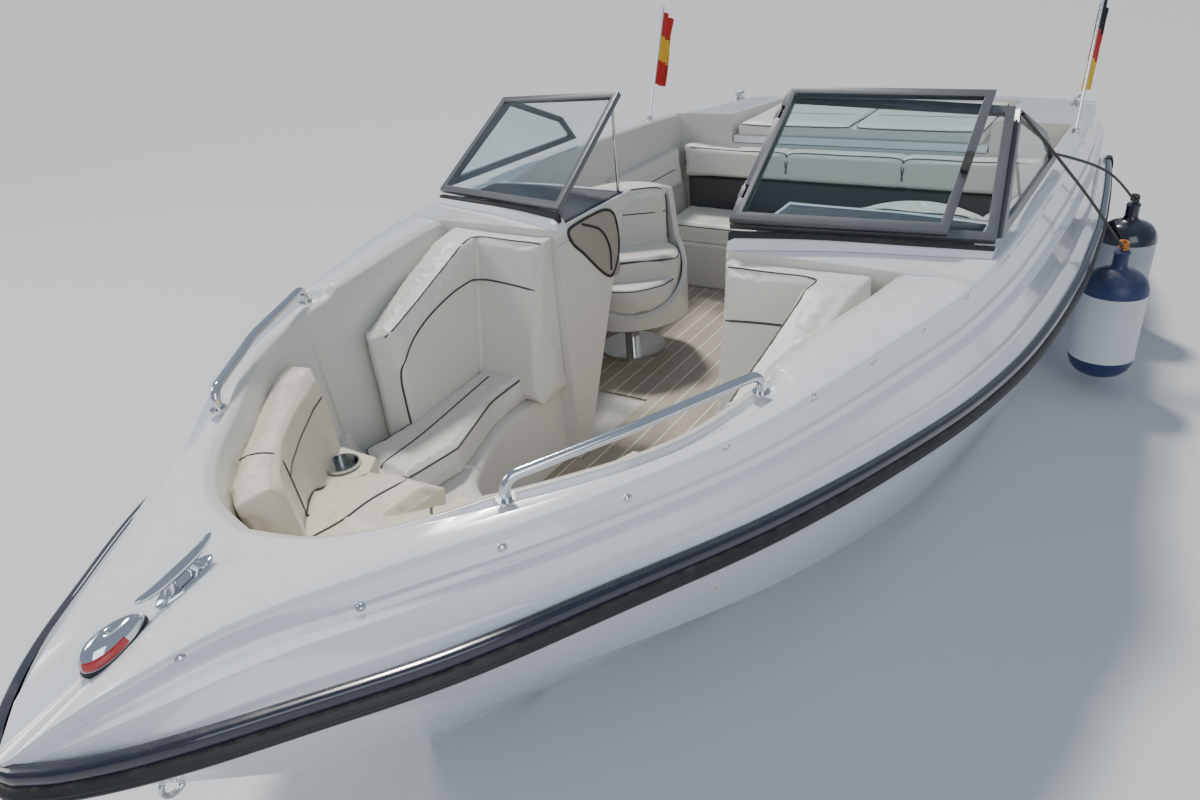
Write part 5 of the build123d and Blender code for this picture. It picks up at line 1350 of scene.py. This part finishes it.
def softBlock(name, vertices, faces, finishName, voxel, rounds, holes=()):
    # small moulded form: voxel copy with its edges eased, then a plain mesh
    piece = newPiece(name, vertices, faces, finishName)
    drills = []
    for x, y, z, radius, deep in holes:
        work = bmesh.new()
        bmesh.ops.create_cone(work, cap_ends=True, segments=48, radius1=radius, radius2=radius, depth=deep,
                              matrix=Matrix.Translation((x, y, z)))
        drill = bpy.data.objects.new("drill", bpy.data.meshes.new("drill"))
        work.to_mesh(drill.data)
        work.free()
        bpy.context.scene.collection.objects.link(drill)
        cut = piece.modifiers.new("hole", "BOOLEAN")
        cut.operation = "DIFFERENCE"
        cut.object = drill
        drills.append(drill)
    remesh = piece.modifiers.new("remesh", "REMESH")
    remesh.mode = "VOXEL"
    remesh.voxel_size = voxel
    remesh.use_smooth_shade = True
    smooth = piece.modifiers.new("smooth", "SMOOTH")
    smooth.iterations = rounds
    bpy.context.view_layer.update()
    whole = piece.evaluated_get(bpy.context.evaluated_depsgraph_get())
    piece.data = bpy.data.meshes.new_from_object(whole)
    piece.modifiers.clear()
    for drill in drills:
        bpy.data.objects.remove(drill)
    return piece


def makeTrayAndHood():
    mesh = ringSolids([(trayRing, trayRing, *trayHeights)])
    vertices = [v.co.copy() for v in mesh.vertices]
    faces = [tuple(polygon.vertices) for polygon in mesh.polygons]
    softBlock("cupTrays", vertices, faces, "vinylCream", 0.005, 5, [cupHole])
    count = len(hoodRing)
    vertices = [Vector((x, y, z)) * mm for y in hoodSides for x, z in hoodRing]
    faces = [(k, (k + 1) % count, count + (k + 1) % count, count + k) for k in range(count)]
    faces += [tuple(reversed(range(count))), tuple(range(count, 2 * count))]
    faces = [tuple(reversed(face)) for face in faces]
    softBlock("dashHood", vertices, faces, "dashTaupe", 0.004, 8)
    rim = smoothLine([Vector((x, hoodSides[0] - 2, z)) * mm for x, z in hoodRing], 6, True)
    tubeAlong("dashHood.rim", rim, 0.005, "seal", closed=True, sides=10)
    stripe = smoothLine([Vector(p) * mm for p in hoodStripe], 8)
    tubeAlong("dashHood.stripe", stripe, 0.004, "seal", sides=8)


# foot of the port pane in mm; then sill and rubber under both panes: piece, finish, slot, their top and
# foot as shares of the way down to the deck, and how far they reach fore and aft in metres
shieldFoot = [(966, 300, 1036), (900, 520, 1030), (840, 760, 1015), (773, 985, 998)]
shieldForms = [
    ("shieldSill", "gelcoatWhite", "gelcoat", 0.34, 1.0, 0.020, -0.040),
    ("shieldSeal", "seal", "rail_rubber", 0.0, 0.40, 0.010, -0.010),
]


def makeShieldSeals():
    for side, label in boatSides:
        line = []
        for point in smoothLine([Vector((x, y * side, z)) * mm for x, y, z in shieldFoot], 12):
            place = skinTree.ray_cast(point + Vector((0, 0, 0.05)), Vector((0, 0, -1)))[0]
            high = point - Vector((0, 0, 0.014))
            line.append((high, place if place else high - Vector((0, 0, 0.04))))
        last = (len(line) - 1) * 5
        faces = gridFaces(len(line), 5, 0, False, True)
        faces += [(4, 3, 2, 1, 0), tuple(last + k for k in range(5))]
        for kind, finishName, slotName, top, foot, fore, aft in shieldForms:
            vertices = []
            for high, low in line:
                upper, lower = high.lerp(low, top), high.lerp(low, foot)
                for ahead, level in ((fore * 0.7, upper), (fore, upper.lerp(lower, 0.2)),
                                     (fore * 1.5, lower), (aft, lower), (aft * 0.5, upper)):
                    vertices.append(level + Vector((ahead, 0, 0.001)))
            newPiece(kind + "." + label, vertices, faces, finishName, smoothAngle=50)


makeTrayAndHood()
makeShieldSeals()
makeSnaps()
makeCleats()
makeNavLight()
makeSpeakers()
makeDashTop()
print("deck fittings")

# fenders: turned profile in mm of radius and height, with coloured ends beyond two heights, and
# where each hangs in metres with the finishes of its middle, its ends and its knot
fenderProfile = [(0, 60), (34, 61), (62, 68), (88, 82), (106, 102), (117, 128), (119.5, 150), (120, 152),
                 (117.5, 156), (117.5, 414), (120, 418), (119.5, 420), (117, 442), (106, 468), (88, 488),
                 (62, 502), (40, 508), (30, 516), (27, 530), (27, 566), (30, 576), (22, 585), (0, 585)]
fenderEnds = (0.150, 0.419)
fenderSpots = [("fenderFore", (-0.500, 1.2612), "fenderWhite", "fenderBlue", "ropeOrange"),
               ("fenderAft", (-1.150, 1.2564), "fenderGrey", "navyGloss", "ropeDark")]
# knot over a fender's eye in metres: three turns of line
knotRing = {"radius": 0.0145, "thick": 0.0048, "foot": 0.5895, "high": 0.032, "turns": 3, "steps": 20}


def fenderPart(height):
    return 0 if fenderEnds[0] <= height <= fenderEnds[1] else 1


def makeFenders():
    profile = [(radius * mm, height * mm) for radius, height in fenderProfile]
    for label, (x, y), bodyFinish, endFinish, rope in fenderSpots:
        piece = mergedLathe(label, profile, [(Vector((x, y, 0)), Vector((0, 0, 1)))],
                            [bodyFinish, endFinish], fenderPart, sides=56)
        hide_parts("fenders")
        knot, count, around = [], knotRing["turns"] * knotRing["steps"], knotRing["radius"]
        for k in range(count):
            turn = 2 * math.pi * k / knotRing["steps"]
            height = knotRing["foot"] + knotRing["high"] * k / count
            knot.append(Vector((x + around * math.cos(turn), y + around * math.sin(turn), height)))
        tubeAlong(label + ".knot", knot, knotRing["thick"], rope, sides=8)


# flags hang in folds from their leaning staffs, in metres and degrees; their stripes run along the fly
flag = {
    "hoist": 0.36, "fly": 0.20, "lean": 22, "staff": 0.56, "foot": (-890, 1000), "rows": 36, "columns": 20,
    "truck": 0.018, "reach": 0.105, "fold": 0.020, "drop": 0.070, "off": 0.007,
}
flagBands = {
    "port": ["flagBlack", "flagRed", "flagYellow"],
    "starboard": ["flagRed", "flagYellow", "flagRed"],
}


def makeFlags():
    lean = math.radians(flag["lean"])
    up = Vector((-math.sin(lean), 0, math.cos(lean)))
    footX, footY = flag["foot"]
    rows, columns = flag["rows"], flag["columns"]
    for side, label in boatSides:
        head = skinBelow(footX, side * footY)[0] + up * (flag["staff"] - flag["truck"])
        vertices = []
        for i in range(rows + 1):
            for j in range(columns + 1):
                down, out = i / rows, j / columns
                reach = flag["reach"] * out * (1 - 0.25 * down)
                fold = flag["fold"] * math.sin(out * 15 + down * 2.2) * out ** 0.6
                drop = flag["drop"] * out ** 1.3 * (1 - 0.6 * down)
                cloth = Vector((-reach - flag["off"], fold * side, -drop))
                vertices.append(head - up * flag["hoist"] * down + cloth)
        faces = gridFaces(rows + 1, columns + 1)
        bands = [min(2, 3 * i // rows) for i in range(rows) for _ in range(columns)]
        piece = newPiece("flag." + label, vertices, faces, flagBands[label], smoothAngle=60, faceFinish=bands)
        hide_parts("flags")


makeFenders()
makeFlags()
print("fenders and flags")

# dials on the helm's dash, in mm across and up with their radius, then the turned form of all of them
dials = [(-400, 858, 30), (-478, 868, 40), (-572, 868, 40), (-640, 850, 26)]
dialProfile = [(1.0, -0.004), (1.0, 0.005), (0.97, 0.009), (0.88, 0.009), (0.84, 0.004), (0.0, 0.004)]


def makeDials():
    dashTree = treeOf(softPieces["dash_pod"])
    for number, (y, z, radius) in enumerate(dials):
        place, normal = dashTree.ray_cast(Vector((0.3, y * mm, z * mm)), Vector((1, 0, 0)))[:2]
        if place is None:
            continue
        normal = normal if normal.x < 0 else -normal
        profile = [(share * radius * mm, height) for share, height in dialProfile]
        dial = mergedLathe("dial." + str(number), profile, [(place, normal)], ["steel", "dialFace"],
                           lambda height: 1 if height == 0.004 else 0, sides=48)
        upward = (Vector((0, 0, 1)) - normal * normal.z).normalized()
        aside = normal.cross(upward)
        face = place + normal * 0.0045
        vertices, faces = [], []
        for tick in range(25):
            turn = math.radians(-130 + 260 * tick / 24)
            way = upward * math.cos(turn) + aside * math.sin(turn)
            beside = way.cross(normal)
            inner = 0.62 if tick % 4 == 0 else 0.70
            first = len(vertices)
            for share, wide in ((inner, -0.6), (inner, 0.6), (0.78, 0.6), (0.78, -0.6)):
                vertices.append(face + way * share * radius * mm + beside * wide * mm)
            faces.append(tuple(first + k for k in range(4)))
        turn = math.radians(-100 + 31 * number)
        way = upward * math.cos(turn) + aside * math.sin(turn)
        beside = way.cross(normal)
        first = len(vertices)
        for along, wide in ((-0.12, -1.4), (-0.12, 1.4), (0.66, 0.4), (0.66, -0.4)):
            vertices.append(face + normal * 0.001 + way * along * radius * mm + beside * wide * mm)
        faces.append(tuple(first + k for k in range(4)))
        newPiece("dialMarks." + str(number), vertices, faces, "blackPlastic")


makeDials()

# engine in metres: middle and half breadth of a rocker cover, the arrestor's turned form, pulleys as
# place across, depth below the top and radius, with their form in shares of the radius, and their back
engine = {
    "cover": (0.145, 0.062),
    "arrestor": [(0.0, 0.0), (0.085, 0.0), (0.092, 0.008), (0.092, 0.040), (0.085, 0.048), (0.03, 0.052),
                 (0.0, 0.052)],
    "pulleys": [(0.0, 0.34, 0.085), (0.11, 0.15, 0.048), (-0.11, 0.15, 0.048)],
    "pulley": [(0.0, 0.004), (0.8, 0.004), (1, 0.010), (0.93, 0.013), (1, 0.016), (0.0, 0.016)],
    "behind": 0.018,
}


def makeEngine():
    # cast block with two rocker covers, a flame arrestor, belt, pulleys and hoses
    low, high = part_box("engine_block")
    midX, foreX, topZ = (low.x + high.x) / 2, high.x, high.z
    coverY, coverHalf = engine["cover"]
    for side, label in boatSides:
        vertices, faces = [], []
        middle = side * coverY
        openBox((low.x + 0.07, middle - coverHalf, topZ - 0.10),
                (foreX - 0.09, middle + coverHalf, topZ - 0.004), (), vertices, faces)
        cover = newPiece("rockerCover." + label, vertices, faces, "drivePaint", smoothAngle=30)
        ease = cover.modifiers.new("ease", "BEVEL")
        ease.width = 0.022
        ease.segments = 4
        route = [(foreX - 0.06, 0.20, 0.16), (foreX - 0.02, 0.235, 0.24), (midX, 0.245, 0.27),
                 (low.x + 0.05, 0.22, 0.33)]
        line = smoothLine([Vector((x, side * y, topZ - down)) for x, y, down in route], 8)
        tubeAlong("engineHose." + label, line, 0.020, "seal", sides=14)
    spot = (Vector((midX - 0.02, 0, topZ - 0.055)), Vector((0, 0, 1)))
    arrestor = mergedLathe("flameArrestor", engine["arrestor"], [spot], ["steel"], sides=40)
    belt = []
    for number, (y, down, radius) in enumerate(engine["pulleys"]):
        z = topZ - down
        profile = [(radius * share, height) for share, height in engine["pulley"]]
        spot = (Vector((foreX - engine["behind"], y, z)), Vector((1, 0, 0)))
        wheel = mergedLathe("enginePulley." + str(number), profile, [spot], ["silverPlastic"], sides=40)
        heading = math.atan2(z - (topZ - 0.22), y)
        for k in range(-3, 4):
            turn = heading + k * 0.32
            belt.append(Vector((foreX - 0.004, y + radius * math.cos(turn), z + radius * math.sin(turn))))
    tubeAlong("engineBelt", belt, 0.004, "seal", closed=True, sides=8)


makeEngine()
print("dials and engine")

# platform's tread pads in mm: aft, fore, starboard and port edge, then heights in metres
treads = [(-2490, -2140, -860, -310), (-2490, -2250, -290, 290), (-2490, -2140, 310, 860)]
platform = {"top": 0.330, "edge": 0.302}
# tow eyes in metres: place across and up, radius, and the turned form of their plates
towEye = {
    "y": 0.72, "z": 0.13, "radius": 0.030, "thick": 0.0065,
    "plate": [(0.0, 0.004), (0.022, 0.004), (0.026, 0.002), (0.026, -0.002)],
}


def roundedPlate(name, low, high, corner, top, thick, finishName):
    # flat plate with rounded corners and an eased upper edge
    outline = []
    for x, y, start in ((high[0] - corner, high[1] - corner, 0), (low[0] + corner, high[1] - corner, 90),
                        (low[0] + corner, low[1] + corner, 180), (high[0] - corner, low[1] + corner, 270)):
        for k in range(9):
            turn = math.radians(start + 90 * k / 8)
            outline.append((x, y, math.cos(turn), math.sin(turn)))
    vertices = []
    for inset, rise in ((0, -0.001), (0, thick * 0.6), (thick * 0.4, thick)):
        for x, y, across, along in outline:
            vertices.append((x + across * (corner - inset), y + along * (corner - inset), top + rise))
    count = len(outline)
    faces = gridFaces(3, count, 0, False, True) + [tuple(range(2 * count, 3 * count))]
    newPiece(name, vertices, faces, finishName)


def makeStern():
    # tread pads and rubber edge of the platform, and the tow eyes on the transom
    for number, (aft, fore, low, high) in enumerate(treads):
        roundedPlate("platformTread." + str(number), (aft * mm, low * mm), (fore * mm, high * mm), 0.04,
                     platform["top"], 0.004, "plankFloor")
    low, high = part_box("swim_platform")
    edge = [(high.x - 0.002, high.y + 0.001), (low.x + 0.14, high.y + 0.001), (low.x + 0.045, high.y - 0.04),
            (low.x - 0.001, high.y - 0.14), (low.x - 0.001, 0)]
    points = [Vector((x, y, platform["edge"])) for x, y in edge]
    points += [Vector((p.x, -p.y, p.z)) for p in reversed(points[:-1])]
    line = smoothLine(points, 8)
    tubeAlong("platformEdge", line, 0.010, "railRubber", sides=10)
    z, radius = towEye["z"], towEye["radius"]
    for side, label in boatSides:
        y, ring = side * towEye["y"], []
        for k in range(13):
            turn = math.pi * k / 12
            ring.append(Vector((sternX - 0.004 - radius * math.sin(turn), y, z + radius * math.cos(turn))))
        tubeAlong("towEye." + label, ring, towEye["thick"], "steel", sides=14)
        spots = [(Vector((sternX, y, z + up)), Vector((-1, 0, 0))) for up in (radius, -radius)]
        mergedLathe("towEyePlate." + label, towEye["plate"], spots, ["steel"])


makeStern()
print("stern fitted")


# floor, sky and sun; soft lamps as name, place and size in metres, watts and colour
studio = {
    "floor": (0.60, 0.61, 0.62), "floorRough": 0.85, "floorHalf": 400,
    "sky": (0.62, 0.73, 0.90), "skyStrength": 0.50,
    "sun": 3.3, "sunSpread": 8, "sunFrom": (-3.2, -3.4, 6.6), "sunColour": (1, 0.95, 0.88),
    "lamps": [("fill", (5.5, 5.0, 4.0), 4.5, 150, (0.88, 0.94, 1)),
              ("rim", (4.5, -5.5, 5.0), 2.5, 160, (1, 0.98, 0.95))],
    "lampsAim": (0.8, 0, 0.5),
}


def makeStage():
    mesh = bpy.data.meshes.new("waterFloor")
    half = studio["floorHalf"]
    corners = [(-half, -half, 0), (half, -half, 0), (half, half, 0), (-half, half, 0)]
    mesh.from_pydata(corners, [], [(0, 1, 2, 3)])
    material = bpy.data.materials.new("paleFloor")
    material.use_nodes = True
    shader = material.node_tree.nodes["Principled BSDF"]
    shader.inputs["Base Color"].default_value = (*studio["floor"], 1)
    shader.inputs["Roughness"].default_value = studio["floorRough"]
    mesh.materials.append(material)
    floor = bpy.data.objects.new("waterFloor", mesh)
    bpy.context.scene.collection.objects.link(floor)
    world = bpy.data.worlds.new("sky")
    world.use_nodes = True
    world.node_tree.nodes["Background"].inputs[0].default_value = (*studio["sky"], 1)
    world.node_tree.nodes["Background"].inputs[1].default_value = studio["skyStrength"]
    bpy.context.scene.world = world
    sun = bpy.data.lights.new("sun", "SUN")
    sun.energy = studio["sun"]
    sun.angle = math.radians(studio["sunSpread"])
    sun.color = studio["sunColour"]
    piece = bpy.data.objects.new("sun", sun)
    piece.rotation_euler = (-Vector(studio["sunFrom"])).to_track_quat("-Z", "Y").to_euler()
    bpy.context.scene.collection.objects.link(piece)
    for name, place, size, power, colour in studio["lamps"]:
        lamp = bpy.data.lights.new(name, "AREA")
        lamp.size = size
        lamp.energy = power
        lamp.color = colour
        piece = bpy.data.objects.new(name, lamp)
        piece.location = place
        way = Vector(studio["lampsAim"]) - Vector(place)
        piece.rotation_euler = way.to_track_quat("-Z", "Y").to_euler()
        bpy.context.scene.collection.objects.link(piece)


makeStage()
print("stage ready")
